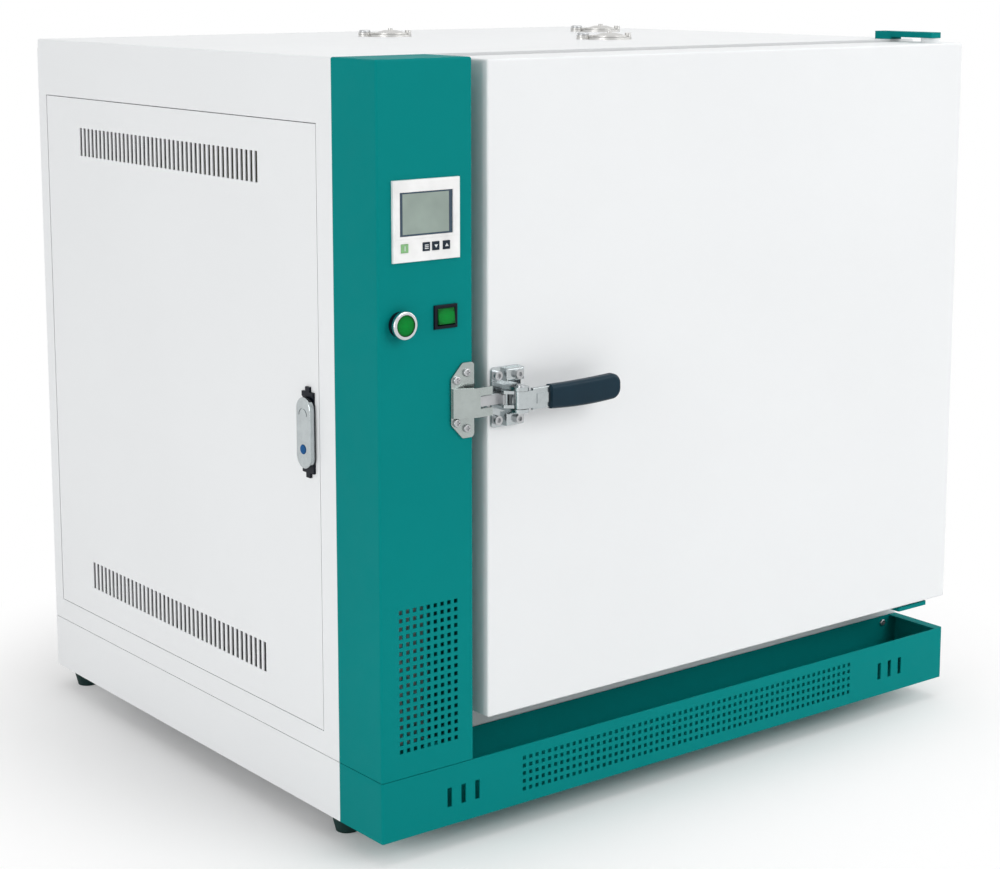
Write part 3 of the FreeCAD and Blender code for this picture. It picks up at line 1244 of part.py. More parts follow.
def door_insulation():
    """Mineral wool inside the door, with room for the bushes and the bolts."""
    wool = box(DOOR_X0 + SHEET + SOFT_CLEAR, DOOR_X1 - SHEET - SOFT_CLEAR, DOOR_Y0 + SHEET + FILL_CLEAR,
               DOOR_Y1 - SHEET - SOFT_CLEAR, DOOR_Z0 + SHEET + SOFT_CLEAR, DOOR_Z1 - SHEET - SOFT_CLEAR)
    reach = HINGE_PIN_LENGTH + FILL_CLEAR
    tools = []
    for face, inward in ((DOOR_Z0, 1), (DOOR_Z1, -1)):
        tools.append(rod_z(BUSH_R + SOFT_CLEAR, face, face + inward * reach, HINGE_X, HINGE_Y))
    return wool.cut(tools)


def door_gasket():
    """Seal round the chamber's opening, on the back of the door."""
    face = CASE_FRONT - CHAMBER_LIP_T - SOFT_CLEAR
    seal = rounded(round_opening(GASKET_OUT + GASKET_W, DOOR_Y1, face), GASKET_EDGE_R, {"y": face})
    return seal.cut(round_opening(GASKET_OUT, DOOR_Y1 - CUT_OVER, face + CUT_OVER))


def keeper_plate():
    """Keeper on the column: a plate with cut-off corners and a forked strap over the gap."""
    left, right = KEEPER_X0, COLUMN_W
    low, high = KEEPER_Z - KEEPER_HALF_H, KEEPER_Z + KEEPER_HALF_H
    corners = ((left, low + KEEPER_CORNER_Z), (left + KEEPER_CORNER_X, low), (right, low), (right, high),
               (left + KEEPER_CORNER_X, high), (left, high - KEEPER_CORNER_Z))
    plate = prism([Vector(x, -KEEPER_T, z) for x, z in corners], Vector(0, KEEPER_T, 0))
    upright = [edge for edge in plate.Edges if edge.BoundBox.YLength > KEEPER_T / 2]
    plate = plate.makeFillet(KEEPER_CORNER_R, upright)
    outer = STRAP_INNER_Y - STRAP_T
    profile = ((STRAP_X0, -KEEPER_T), (STRAP_X0, -KEEPER_T - STRAP_T), (STRAP_X0 + STRAP_RAMP, outer),
               (STRAP_END, outer), (STRAP_END, STRAP_INNER_Y), (STRAP_X1, STRAP_INNER_Y),
               (STRAP_X0 + STRAP_FOOT, -KEEPER_T))
    strap = prism([Vector(x, y, LATCH_Z - STRAP_HALF_H) for x, y in profile], Vector(0, 0, 2 * STRAP_HALF_H))
    window = box(STRAP_END - STRAP_WINDOW_L, STRAP_END + CUT_OVER, outer - CUT_OVER,
                 STRAP_INNER_Y + CUT_OVER, LATCH_Z - STRAP_WINDOW_HALF_H, LATCH_Z + STRAP_WINDOW_HALF_H)
    holes = [screw_hole(place, OUT_FRONT) for place in keeper_screw_places()]
    return fuse([plate, strap]).cut(holes + [window])


def latch_base():
    """Door side of the latch: plate, two guide blocks and two ears for the pivot pin."""
    plate = box(BASE_X0, BASE_X1, BASE_FACE_Y, DOOR_Y0, LATCH_Z - BASE_HALF_H, LATCH_Z + BASE_HALF_H)
    upright = [edge for edge in plate.Edges if edge.BoundBox.YLength > BASE_T / 2]
    pieces = [plate.makeFillet(BASE_CORNER_R, upright)]
    for side in (-1, 1):
        near, far = sorted((LATCH_Z + side * GUIDE_NEAR, LATCH_Z + side * GUIDE_FAR))
        face = BASE_FACE_Y - GUIDE_T
        guide = box(BASE_X1 - GUIDE_W, BASE_X1, face, BASE_FACE_Y, near, far)
        pieces.append(rounded(guide, GUIDE_EDGE_R, {"y": face}))
        low, high = sorted((LATCH_Z + side * EAR_NEAR, LATCH_Z + side * (EAR_NEAR + EAR_T)))
        pieces.append(box(PIVOT_X - EAR_R, PIVOT_X + EAR_R, PIVOT_Y, BASE_FACE_Y, low, high))
        pieces.append(rod_z(EAR_R, low, high, PIVOT_X, PIVOT_Y))
    tools = [rod_z(PIVOT_PIN_R, LATCH_Z - BASE_HALF_H, LATCH_Z + BASE_HALF_H, PIVOT_X, PIVOT_Y)]
    tools += [rod_y(BOLT_SHANK_R, BASE_FACE_Y - GUIDE_T - CUT_OVER, DOOR_Y0 + CUT_OVER, place.x, place.z)
              for place in latch_bolt_places()]
    return fuse(pieces).cut(tools)


def latch_bolts():
    """Four socket-head bolts that hold the latch base on the door."""
    bolts = []
    for place in latch_bolt_places():
        top = place.y - BOLT_HEAD_H
        head = rod_y(BOLT_HEAD_R, top, place.y, place.x, place.z)
        shank = rod_y(BOLT_SHANK_R, place.y, DOOR_Y0 + SHEET, place.x, place.z)
        socket = rod_y(BOLT_SOCKET_R, top - CUT_OVER, top + BOLT_SOCKET_DEPTH, place.x, place.z)
        bolts.append(fuse([head, shank]).cut(socket))
    return Part.makeCompound(bolts)


def latch_pivot_pin():
    """Pin through the ears, with a head on top and a swaged end below."""
    reach = EAR_NEAR + EAR_T
    pin = rod_z(PIVOT_PIN_R, LATCH_Z - reach, LATCH_Z + reach, PIVOT_X, PIVOT_Y)
    heads = [rod_z(PIVOT_HEAD_R, *sorted((LATCH_Z + side * reach, LATCH_Z + side * (reach + PIVOT_HEAD_H))),
                   PIVOT_X, PIVOT_Y) for side in (-1, 1)]
    return fuse([pin] + heads)


def latch_lever():
    """Lever: knuckle, two crank arms with their pin, and the flat bar that holds the grip."""
    low, high = LATCH_Z - KNUCKLE_HALF_H, LATCH_Z + KNUCKLE_HALF_H
    knuckle = rod_z(KNUCKLE_R, low, high, PIVOT_X, PIVOT_Y)
    neck = box(PIVOT_X, PIVOT_X + BAR_START, BAR_OUTER_Y, BAR_INNER_Y, low, high)
    bar_low, bar_high = LATCH_Z - BAR_HALF_H, LATCH_Z + BAR_HALF_H
    bar = box(PIVOT_X + BAR_START, BAR_END, BAR_OUTER_Y, BAR_INNER_Y, bar_low, bar_high)
    bar = rounded(bar, BAR_EDGE_R, {"y": BAR_OUTER_Y, "z": bar_low}, {"y": BAR_OUTER_Y, "z": bar_high})
    pad_x = PIVOT_X + PAD_INSET
    pad = box(pad_x, pad_x + PAD_W, BAR_OUTER_Y - PAD_T, BAR_OUTER_Y,
              LATCH_Z - PAD_HALF_H, LATCH_Z + PAD_HALF_H)
    pieces = [knuckle, neck, bar, pad, lever_tang()]
    along = Vector(CRANK_X - PIVOT_X, CRANK_Y - PIVOT_Y, 0)
    side = Vector(-along.y, along.x, 0).normalize() * CRANK_ARM_R
    for z0 in (low, high - CRANK_ARM_T):
        start = Vector(PIVOT_X, PIVOT_Y, z0)
        web = prism([start - side, start + along - side, start + along + side, start + side],
                    Vector(0, 0, CRANK_ARM_T))
        pieces += [web, rod_z(CRANK_ARM_R, z0, z0 + CRANK_ARM_T, CRANK_X, CRANK_Y)]
    pieces.append(rod_z(CRANK_PIN_R, low, high, CRANK_X, CRANK_Y))
    bore = rod_z(PIVOT_PIN_R + PIVOT_RUN, low - CUT_OVER, high + CUT_OVER, PIVOT_X, PIVOT_Y)
    return fuse(pieces).cut(bore)


def lever_tang():
    """Narrow end of the lever's bar inside the grip."""
    return box(BAR_END, BAR_END + TANG_LENGTH, BAR_OUTER_Y, BAR_INNER_Y,
               LATCH_Z - TANG_HALF_H, LATCH_Z + TANG_HALF_H)


def lever_grip():
    """Moulded grip over the end of the lever, a little deeper at its middle and its round tip."""
    xs = [GRIP_START + share * GRIP_LENGTH for share in GRIP_X_SHARES]
    front, back = GRIP_Y - GRIP_HALF_T, GRIP_Y + GRIP_HALF_T
    bottom = [Vector(x, front, LATCH_Z - depth) for x, depth in zip(xs, GRIP_BOTTOM_DEPTHS)]
    top = [Vector(x, front, LATCH_Z + height) for x, height in zip(xs, GRIP_TOP_HEIGHTS)]
    outline = (Part.Arc(*bottom), Part.LineSegment(bottom[-1], top[-1]), Part.Arc(*top[::-1]),
               Part.LineSegment(top[0], bottom[0]))
    grip = Part.Face(Part.Wire([curve.toShape() for curve in outline])).extrude(Vector(0, back - front, 0))
    grip = rounded(grip, GRIP_TIP_R, *({"x": tip.x, "z": tip.z} for tip in (bottom[-1], top[-1])))
    rims = [edge for edge in grip.Edges if not lies_at(edge, {"x": GRIP_START})
            and any(lies_at(edge, {"y": side}) for side in (front, back))]
    grip = grip.makeFillet(GRIP_EDGE_R, rims)
    socket = box(GRIP_START - CUT_OVER, BAR_END, BAR_OUTER_Y, BAR_INNER_Y,
                 LATCH_Z - BAR_HALF_H, LATCH_Z + BAR_HALF_H)
    return grip.cut([socket, lever_tang()])


def latch_tongue():
    """Sliding tongue: a nose behind the keeper's strap and a notched block on the crank pin."""
    inner = BASE_FACE_Y - TONGUE_CLEAR
    low, high = LATCH_Z - TONGUE_HALF_H, LATCH_Z + TONGUE_HALF_H
    block_x0 = CRANK_X - TONGUE_BLOCK_W / 2
    nose = box(STRAP_END - TONGUE_HOLD, block_x0 + TONGUE_BLOCK_W / 2, inner - TONGUE_NOSE_T, inner,
               low, high)
    block = box(block_x0, block_x0 + TONGUE_BLOCK_W, inner - TONGUE_BLOCK_T, inner, low, high)
    half = CRANK_PIN_R + NOTCH_CLEAR
    floor = PIVOT_Y + CRANK_R + CRANK_PIN_R + NOTCH_CLEAR
    notch = box(CRANK_X - half, CRANK_X + half, inner - TONGUE_BLOCK_T - CUT_OVER, floor,
                low - CUT_OVER, high + CUT_OVER)
    nose = rounded(nose, TONGUE_NOSE_R, {"x": STRAP_END - TONGUE_HOLD, "z": low},
                   {"x": STRAP_END - TONGUE_HOLD, "z": high})
    return fuse([nose, block]).cut(notch)


def service_panel():
    """Service door: a pan with two bands of louvres and a cutout for its latch."""
    sides = (0, SERVICE_DEPTH, PANEL_Y0, PANEL_Y1, PANEL_Z0, PANEL_Z1)
    panel = box(*sides).cut(hollow(*sides, SHEET, "right"))
    tools = []
    for low in (FOOT_H + LOUVRE_LOW, CASE_TOP - LOUVRE_DROP):
        for index in range(fitting(PANEL_Y1 - PANEL_Y0 - LOUVRE_FRONT - LOUVRE_REAR, LOUVRE_PITCH)):
            y = PANEL_Y0 + LOUVRE_FRONT + index * LOUVRE_PITCH - LOUVRE_W / 2
            tools.append(box(-CUT_OVER, SHEET + CUT_OVER, y, y + LOUVRE_W, low, low + LOUVRE_H))
    tools.append(side_latch_body(CUT_OVER))
    hole = STUD_R + HINGE_RUN
    tools.append(rod_z(hole, PANEL_Z0 - CUT_OVER, PANEL_Z1 + CUT_OVER, SERVICE_AXIS_X, SERVICE_AXIS_Y))
    return panel.cut(tools)


def side_latch_body(run_out=0):
    """Body of the service latch behind the panel, or the cutout that it goes through."""
    return box(-run_out, SIDE_BODY_DEPTH, SIDE_LATCH_Y - SIDE_BODY_HALF_W, SIDE_LATCH_Y + SIDE_BODY_HALF_W,
               SIDE_LATCH_Z - SIDE_BODY_HALF_H, SIDE_LATCH_Z + SIDE_BODY_HALF_H)


def side_latch_bolt():
    """Bolt that reaches behind the stop of the side frame."""
    return box(SIDE_BOLT_X0, SIDE_BOLT_X1, SIDE_BOLT_Y0, SIDE_BOLT_Y0 + SIDE_BOLT_LENGTH,
               SIDE_LATCH_Z - SIDE_BOLT_HALF_H, SIDE_LATCH_Z + SIDE_BOLT_HALF_H)


def side_latch_base():
    """Base of the service latch: face plate, body with the bolt's slot, and the lever's pivot bar."""
    plate = box(-SIDE_PLATE_T, 0, SIDE_LATCH_Y - SIDE_PLATE_HALF_W, SIDE_LATCH_Y + SIDE_PLATE_HALF_W,
                SIDE_LATCH_Z - SIDE_PLATE_HALF_H, SIDE_LATCH_Z + SIDE_PLATE_HALF_H)
    stem = box(-SIDE_PLATE_T, 0, SIDE_LATCH_Y - SIDE_STEM_HALF_W, SIDE_LATCH_Y + SIDE_STEM_HALF_W,
               SIDE_LATCH_Z - SIDE_STEM_HALF_H, SIDE_LATCH_Z + SIDE_STEM_HALF_H)
    clear = SIDE_BOLT_CLEAR
    slot = box(SIDE_BOLT_X0 - clear, SIDE_BOLT_X1 + clear, SIDE_LATCH_Y - SIDE_BODY_HALF_W - CUT_OVER,
               SIDE_LATCH_Y + SIDE_BODY_HALF_W + CUT_OVER, SIDE_LATCH_Z - SIDE_BOLT_HALF_H - clear,
               SIDE_LATCH_Z + SIDE_BOLT_HALF_H + clear)
    relief = rod_y(SIDE_RELIEF_R, SIDE_LATCH_Y - SIDE_LEVER_HALF_W, SIDE_LATCH_Y + SIDE_LEVER_HALF_W,
                   SIDE_PIVOT_X, SIDE_PIVOT_Z)
    pivot = rod_y(SIDE_PIVOT_R, *side_pivot_span(), SIDE_PIVOT_X, SIDE_PIVOT_Z)
    neck = box(SIDE_PIVOT_X, -SIDE_PLATE_T / 2, *side_pivot_span(),
               SIDE_PIVOT_Z - SIDE_PIVOT_NECK, SIDE_PIVOT_Z + SIDE_PIVOT_NECK)
    return fuse([fuse([plate, stem, side_latch_body()]).cut([slot, relief]), pivot, neck])


def side_pivot_span(clear=0):
    """Width across the service latch's pivot bar."""
    half = SIDE_PIVOT_HALF_W + clear
    return (SIDE_LATCH_Y - half, SIDE_LATCH_Y + half)


def side_latch_lever():
    """Pull lever hooked over its pivot bar, with round ends, a curved groove and the button's hole."""
    x0, x1 = SIDE_LEVER_X0, SIDE_LEVER_X1
    lever = stadium(SIDE_LEVER_HALF_W, SIDE_LEVER_HALF_H, x0, x1, SIDE_LATCH_Y, SIDE_LATCH_Z)
    lever = rounded(lever, SIDE_LEVER_EDGE_R, {"x": x0})
    ring_z = SIDE_LATCH_Z + SIDE_LEVER_HALF_H - SIDE_GROOVE_DROP - SIDE_LEVER_HALF_W / 2
    radius = SIDE_LEVER_HALF_W / 2
    span = (x0 - CUT_OVER, x0 + SIDE_GROOVE_DEPTH)
    groove = rod_x(radius + SIDE_GROOVE_W, *span, SIDE_LATCH_Y, ring_z)
    groove = groove.cut(rod_x(radius, x0 - 2 * CUT_OVER, x1, SIDE_LATCH_Y, ring_z))
    groove = groove.common(box(x0 - CUT_OVER, x1, SIDE_LATCH_Y - SIDE_LEVER_HALF_W,
                               SIDE_LATCH_Y + SIDE_LEVER_HALF_W, ring_z, ring_z + SIDE_LEVER_HALF_W))
    hole = rod_x(SIDE_BUTTON_R + SIDE_BUTTON_CLEAR, x0 - CUT_OVER, x1 + CUT_OVER, SIDE_LATCH_Y, SIDE_BUTTON_Z)
    span = side_pivot_span(SIDE_PIVOT_CLEAR)
    seat = rod_y(SIDE_PIVOT_R + HINGE_RUN, *span, SIDE_PIVOT_X, SIDE_PIVOT_Z)
    mouth = box(SIDE_PIVOT_X, x1 + CUT_OVER, *span, SIDE_PIVOT_Z - SIDE_PIVOT_NECK - SIDE_PIVOT_CLEAR,
                SIDE_PIVOT_Z + CUT_OVER)
    return lever.cut([groove, hole, seat, mouth])


def side_latch_button():
    """Round release button in the lever."""
    front = SIDE_LEVER_X0 - SIDE_BUTTON_PROUD
    button = rod_x(SIDE_BUTTON_R, front, SIDE_LEVER_X1 - SIDE_BUTTON_TRAVEL, SIDE_LATCH_Y, SIDE_BUTTON_Z)
    return rounded(button, SIDE_BUTTON_PROUD / 2, {"x": front})


def place_vent(shape, index):
    """Shape built round a port at the origin, arm along X, set at its place on the casing."""
    x, y = VENT_PLACES[index]
    shape.rotate(Vector(0, 0, 0), OUT_TOP, VENT_ARM_ANGLE)
    shape.translate(Vector(x, y, 0))
    return shape


def exhaust_ducts():
    """Ducts from the chamber to the top panel, each with a flange and a boss for the swivel."""
    ducts = []
    for index in range(len(VENT_PLACES)):
        tube = rod_z(VENT_DUCT_R, CHAMBER_Z1, CASE_TOP, 0, 0)
        flange = rod_z(VENT_FLANGE_R, CASE_TOP, CASE_TOP + VENT_FLANGE_T, 0, 0)
        boss = rod_z(VENT_BOSS_R, CASE_TOP, CASE_TOP + VENT_FLANGE_T, VENT_ARM, 0)
        bore = rod_z(VENT_DUCT_R - VENT_DUCT_WALL, CHAMBER_Z1 - CUT_OVER, CASE_TOP + CUT_OVER, 0, 0)
        pivot = rod_z(VENT_SCREW_R, CASE_TOP - CUT_OVER, CASE_TOP + CUT_OVER, VENT_ARM, 0)
        ducts.append(place_vent(fuse([tube, flange, boss]).cut([bore, pivot]), index))
    return Part.makeCompound(ducts)


def vent_pivot_screws():
    """Knobbed screws that the exhaust covers swivel on."""
    screws = []
    seat = VENT_COVER_Z + VENT_COVER_T + VENT_RUN
    for x, y in vent_pivots():
        shank = rod_z(VENT_SCREW_R, CASE_TOP, seat, x, y)
        knob = rod_z(VENT_KNOB_R, seat, seat + VENT_KNOB_H, x, y)
        knob = rounded(knob, VENT_FLANGE_T / 2, {"z": seat + VENT_KNOB_H})
        screws.append(fuse([shank, knob]))
    return Part.makeCompound(screws)


def vent_cover(index):
    """Swivel cover of one exhaust port: disc with a low dome, a nub and a push tab."""
    z0, z1 = VENT_COVER_Z, VENT_COVER_Z + VENT_COVER_T
    disc = rod_z(VENT_COVER_R, z0, z1, 0, 0)
    dome = Part.makeCone(VENT_DOME_R, VENT_DOME_TOP_R, VENT_DOME_H, Vector(0, 0, z1))
    nub = rod_z(VENT_NUB_R, z1, z1 + VENT_DOME_H + VENT_NUB_H, 0, 0)
    tab = rod_z(VENT_TAB_R, z0, z1 + VENT_DOME_H, -VENT_COVER_R, 0)
    link = box(0, VENT_ARM, -VENT_LINK_HALF_W, VENT_LINK_HALF_W, z0, z1)
    eye = rod_z(VENT_BOSS_R, z0, z1, VENT_ARM, 0)
    bore = rod_z(VENT_SCREW_R + HINGE_RUN, z0 - CUT_OVER, z1 + CUT_OVER, VENT_ARM, 0)
    return place_vent(fuse([disc, dome, nub, tab, link, eye]).cut(bore), index)


def electrical_plate():
    """Upright mounting plate in the service bay, standing on the chamber's rails."""
    span = (CASE_FRONT + PLATE_FRONT_IN, CASE_BACK - PLATE_REAR_IN)
    upright = box(PLATE_X, PLATE_X + PLATE_T, *span, INSULATION_Z0, INSULATION_Z1 - PLATE_DROP)
    foot = box(PLATE_X, PLATE_X + PLATE_FOOT, *span, INSULATION_Z0, INSULATION_Z0 + PLATE_T)
    return fuse([upright, foot])


def build_parts():
    """Every sub-part by the name of its node."""
    parts = {
        "base_frame": base_frame(),
        "levelling_feet": levelling_feet(),
        "top_panel": top_panel(),
        "right_side_panel": right_side_panel(),
        "left_side_frame": left_side_frame(),
        "front_frame": front_frame(),
        "rear_cover": rear_cover(),
        "power_gland": power_gland(),
        "inner_chamber": inner_chamber(),
        "insulation": insulation(),
        "fan_baffle": fan_baffle(),
        "heater_elements": heater_elements(),
        "temperature_probe": temperature_probe(),
        "shelf_racks": shelf_racks(),
        "fan_motor": fan_motor(),
        "motor_plate": motor_plate(),
        "fan_shaft": fan_shaft(),
        "fan_impeller": fan_impeller(),
        "lower_shelf": shelf(SHELF_LEVELS[0]),
        "upper_shelf": shelf(SHELF_LEVELS[1]),
        "column_cover": column_cover(),
        "front_tray": front_tray(),
        "tray_floor": tray_floor(),
        "controller_housing": controller_housing(),
        "controller_display": controller_display(),
        "start_button_barrel": start_button_barrel(),
        "start_button_ring": start_button_ring(),
        "start_button_cap": start_button_cap(),
        "power_switch_bezel": power_switch_bezel(),
        "power_switch_rocker": power_switch_rocker(),
        "hinge_plate_upper": hinge_plate_upper(),
        "hinge_plate_lower": hinge_plate_lower(),
        "hinge_bushes": hinge_bushes(),
        "door_skin": door_skin(),
        "door_liner": door_liner(),
        "door_insulation": door_insulation(),
        "door_gasket": door_gasket(),
        "keeper_plate": keeper_plate(),
        "cabinet_screws": cabinet_screws(),
        "latch_base": latch_base(),
        "latch_bolts": latch_bolts(),
        "latch_pivot_pin": latch_pivot_pin(),
        "latch_lever": latch_lever(),
        "lever_grip": lever_grip(),
        "latch_tongue": latch_tongue(),
        "service_panel": service_panel(),
        "side_latch_base": side_latch_base(),
        "side_latch_lever": side_latch_lever(),
        "side_latch_button": side_latch_button(),
        "side_latch_bolt": side_latch_bolt(),
        "exhaust_ducts": exhaust_ducts(),
        "vent_pivot_screws": vent_pivot_screws(),
        "electrical_plate": electrical_plate(),
    }
    for index, name in enumerate(("power", "menu", "down", "up")):
        parts["controller_key_" + name] = controller_key(index)
    for index, name in enumerate(("left", "front", "right")):
        parts["vent_cover_" + name] = vent_cover(index)
    return parts


def origin(parts):
    """Middle of the object's outline on the floor."""
    whole = FreeCAD.BoundBox()
    for shape in parts.values():
        whole.add(shape.optimalBoundingBox(False))
    return Vector((whole.XMin + whole.XMax) / 2, (whole.YMin + whole.YMax) / 2, 0)


def main():
    """Write one STEP file for each sub-part, with the origin at the middle of the outline."""
    os.makedirs("parts", exist_ok=True)
    parts = build_parts()
    middle = origin(parts)
    print("origin", middle)
    for name, shape in parts.items():
        shape.translate(-middle)
        shape.exportStep("parts/" + name + ".step")
        print(name, "solids", len(shape.Solids), "valid", shape.isValid(), "mm3", round(shape.Volume))


main()
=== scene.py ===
import json
import math

import bmesh
import bpy
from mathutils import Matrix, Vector

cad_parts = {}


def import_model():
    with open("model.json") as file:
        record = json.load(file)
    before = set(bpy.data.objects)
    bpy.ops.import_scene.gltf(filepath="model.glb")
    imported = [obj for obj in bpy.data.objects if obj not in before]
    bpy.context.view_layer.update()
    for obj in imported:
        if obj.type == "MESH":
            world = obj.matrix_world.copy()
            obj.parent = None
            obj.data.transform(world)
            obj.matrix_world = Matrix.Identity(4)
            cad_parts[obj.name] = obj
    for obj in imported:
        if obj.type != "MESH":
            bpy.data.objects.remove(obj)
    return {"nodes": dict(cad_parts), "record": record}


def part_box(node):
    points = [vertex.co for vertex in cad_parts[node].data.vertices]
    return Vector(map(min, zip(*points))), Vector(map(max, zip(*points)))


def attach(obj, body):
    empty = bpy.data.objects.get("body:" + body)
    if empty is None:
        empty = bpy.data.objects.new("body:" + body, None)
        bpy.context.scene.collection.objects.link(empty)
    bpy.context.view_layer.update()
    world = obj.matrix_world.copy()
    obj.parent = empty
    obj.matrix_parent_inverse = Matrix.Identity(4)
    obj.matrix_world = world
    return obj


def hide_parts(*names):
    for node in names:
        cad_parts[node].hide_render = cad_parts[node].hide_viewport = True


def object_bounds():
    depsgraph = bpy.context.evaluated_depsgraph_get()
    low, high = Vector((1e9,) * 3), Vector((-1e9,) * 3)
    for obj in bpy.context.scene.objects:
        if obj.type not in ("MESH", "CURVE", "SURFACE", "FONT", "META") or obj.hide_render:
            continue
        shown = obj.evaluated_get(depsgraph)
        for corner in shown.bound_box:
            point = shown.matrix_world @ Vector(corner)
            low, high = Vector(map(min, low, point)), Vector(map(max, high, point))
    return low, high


# Looks of the dry heat sterilizer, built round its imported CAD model. Lengths are metres,
# and the scales of noises are features a metre.

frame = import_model()
cad_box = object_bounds()
NODES = frame["nodes"]

# Camera, fitted to the photograph's view
CAMERA_PLACE = (-1.68255, -2.16945, 0.9625)
CAMERA_YAW = 37.872
CAMERA_PITCH = 9.316
CAMERA_LENS = 77.166
CAMERA_SENSOR = 36.0
CAMERA_SHIFT_Y = -0.12

# Floor: half its side, and the distances from the middle between which it goes over to white
FLOOR_HALF = 12.0
FLOOR_NEAR = 0.42
FLOOR_FAR = 0.85
# Grey that it throws back on the object, the drift of that grey, and its colour in the picture
FLOOR_BOUNCE = 0.9
FLOOR_DRIFT = 0.01
FLOOR_CLOUD = 2.0
FLOOR_ROUGH = 0.9
FLOOR_SEEN = (0.97, 0.97, 0.97, 1.0)

# Light: strength of the world, then name, place, side and watts of each lamp
WHITE = (1.0, 1.0, 1.0, 1.0)
WORLD_LIGHT = 0.45
LAMPS = (
    ("lamp_front", (1.5, -4.2, 2.8), 2.6, 76.0),
    ("lamp_left", (-4.2, -0.8, 1.1), 2.4, 55.0),
    ("lamp_top", (0.4, -0.4, 4.4), 3.0, 46.0),
    ("lamp_right", (3.6, -1.6, 2.0), 2.0, 22.0),
)

# Colours, linear
WHITE_PAINT = (0.86, 0.875, 0.885)
TEAL_PAINT = (0.0, 0.23, 0.225)
STAINLESS = (0.58, 0.575, 0.56)
CHROME = (0.5, 0.54, 0.55)
# Keeper plate: satin plating whose darker grey-green tint is a painted reflection of the teal column
SATIN_AND_TEAL_REFLECTION = (0.43, 0.475, 0.46)
RING = (0.66, 0.68, 0.69)
ZINC = (0.5, 0.51, 0.52)
ALLOY = (0.42, 0.43, 0.44)
WOOL = (0.32, 0.28, 0.18)
SEAL_RED = (0.4, 0.09, 0.06)
RUBBER = (0.006, 0.026, 0.024)
CREAM = (0.93, 0.93, 0.92)
LCD_GREY = (0.27, 0.34, 0.3)
LCD_BORDER = (0.004, 0.035, 0.07)
BLACK = (0.004, 0.006, 0.012)
GREEN = (0.0, 0.2, 0.026)
KEY_GREEN = (0.22, 0.47, 0.2)
KEY_DARK = (0.01, 0.02, 0.034)
KEY_MARK = (0.75, 0.77, 0.78)
BLUE = (0.0, 0.08, 0.25)
GRIP = (0.003, 0.022, 0.038)

# A noise gives one end of a drift below the first value, and the other end above the second
NOISE_LOW = 0.3
NOISE_HIGH = 0.7

# Powder coat: slow drift, uneven gloss and its reach in roughness, orange peel and its depth
PAINT_DRIFT = 3.0
PAINT_GLOSS = 38.0
PAINT_GLOSS_REACH = 0.05
PAINT_PEEL = 620.0
PAINT_RELIEF = 0.00006

# Brushed sheet: grain along three axes, cloud and its two ends of roughness.
# Tones, here and below, are positions on a ramp and shares of the colour.
SHEET_GRAIN = (30.0, 30.0, 2600.0)
SHEET_RELIEF = 0.000008
SHEET_CLOUD = 9.0
SHEET_ROUGH = (0.33, 0.4)
SHEET_TONES = ((0.25, 0.86), (0.75, 1.1))

# Plated metal: its marks are darker and duller, and end at the bright value of their noise
PLATE_SMUDGE = 55.0
PLATE_BRIGHT = 0.65
PLATE_DARKER = 0.12
PLATE_DULLER = 0.12
PLATE_SKIN = 160.0

# Mouldings: slow drift, its share of the colour, and how far the gloss goes with it
MOULD_DRIFT = 24.0
MOULD_SPREAD = 0.14
MOULD_SMOOTHER = 0.04
MOULD_ROUGHER = 0.06

# Mineral wool: fibres along three axes, hollows between them, and their depth
WOOL_FIBRES = (40.0, 900.0, 260.0)
WOOL_HOLLOWS = 46.0
WOOL_DEPTH = 0.004
# Wool tones follow the relief: painted shade in its hollows and painted light on its tops, along with streaks
# of binder
WOOL_BINDER_AND_SHADE_TONES = ((0.12, 0.45), (0.3, 1.0), (0.45, 1.35))

# Caps over lamps: prisms behind the face, their depth, scatter, and tones from the middle out, which are a
# painted glow in the middle and painted shade at the rim
CAP_PRISMS = 190.0
CAP_RELIEF = 0.00008
CAP_SCATTER = 0.004
CAP_GLOW_AND_SHADE_TONES = ((0.1, 1.25), (0.75, 1.0), (1.0, 0.5))

# Display: dark border at the sides, at top and bottom, and its soft edge
LCD_SIDE = 0.0042
LCD_RIM = 0.0016
LCD_EDGE = 0.0006
LCD_HAZE = 30.0
LCD_TONES = ((NOISE_LOW, 0.9), (NOISE_HIGH, 1.12))


def feed(tree, socket, value):
    """Link a socket to an output, or set its value."""
    if isinstance(value, bpy.types.NodeSocket):
        tree.links.new(value, socket)
    else:
        socket.default_value = value


def add(tree, kind, settings=None, **feeds):
    """Shader node with its settings, and its inputs set or linked."""
    node = tree.nodes.new("ShaderNode" + kind)
    for key, value in (settings or {}).items():
        setattr(node, key, value)
    for key, value in feeds.items():
        feed(tree, node.inputs[int(key[1:]) if key[1:].isdigit() else key], value)
    return node


def surface(tree, **feeds):
    """Set or link sockets of a material's main shader."""
    for key, value in feeds.items():
        feed(tree, tree.nodes["Principled BSDF"].inputs[key.replace("_", " ")], value)


def shader(name, **values):
    """Material with plain values on its main shader, and its node tree."""
    mat = bpy.data.materials.new(name)
    mat.use_nodes = True
    surface(mat.node_tree, **values)
    return mat, mat.node_tree


def place(tree, scale=(1.0, 1.0, 1.0)):
    """Place on the object in metres, stretched by a scale."""
    coords = add(tree, "TexCoord")
    return add(tree, "Mapping", Vector=coords.outputs["Object"], Scale=scale).outputs["Vector"]


def place_from_middle(tree, low, high):
    """Place on the object from the middle of a box."""
    return add(tree, "VectorMath", {"operation": "SUBTRACT"}, _0=place(tree), _1=(low + high) / 2).outputs[0]


def length(tree, vector):
    """Length of a vector."""
    return add(tree, "VectorMath", {"operation": "LENGTH"}, _0=vector).outputs["Value"]


def combine(tree, operation, first, second):
    """Two values put together by an operation."""
    return add(tree, "Math", {"operation": operation}, _0=first, _1=second).outputs[0]


def noise(tree, vector, scale, detail=2.0, roughness=0.5):
    """Noise from 0 to 1 at so many features a metre."""
    return add(tree, "TexNoise", Vector=vector, Scale=scale, Detail=detail,
               Roughness=roughness).outputs["Fac"]


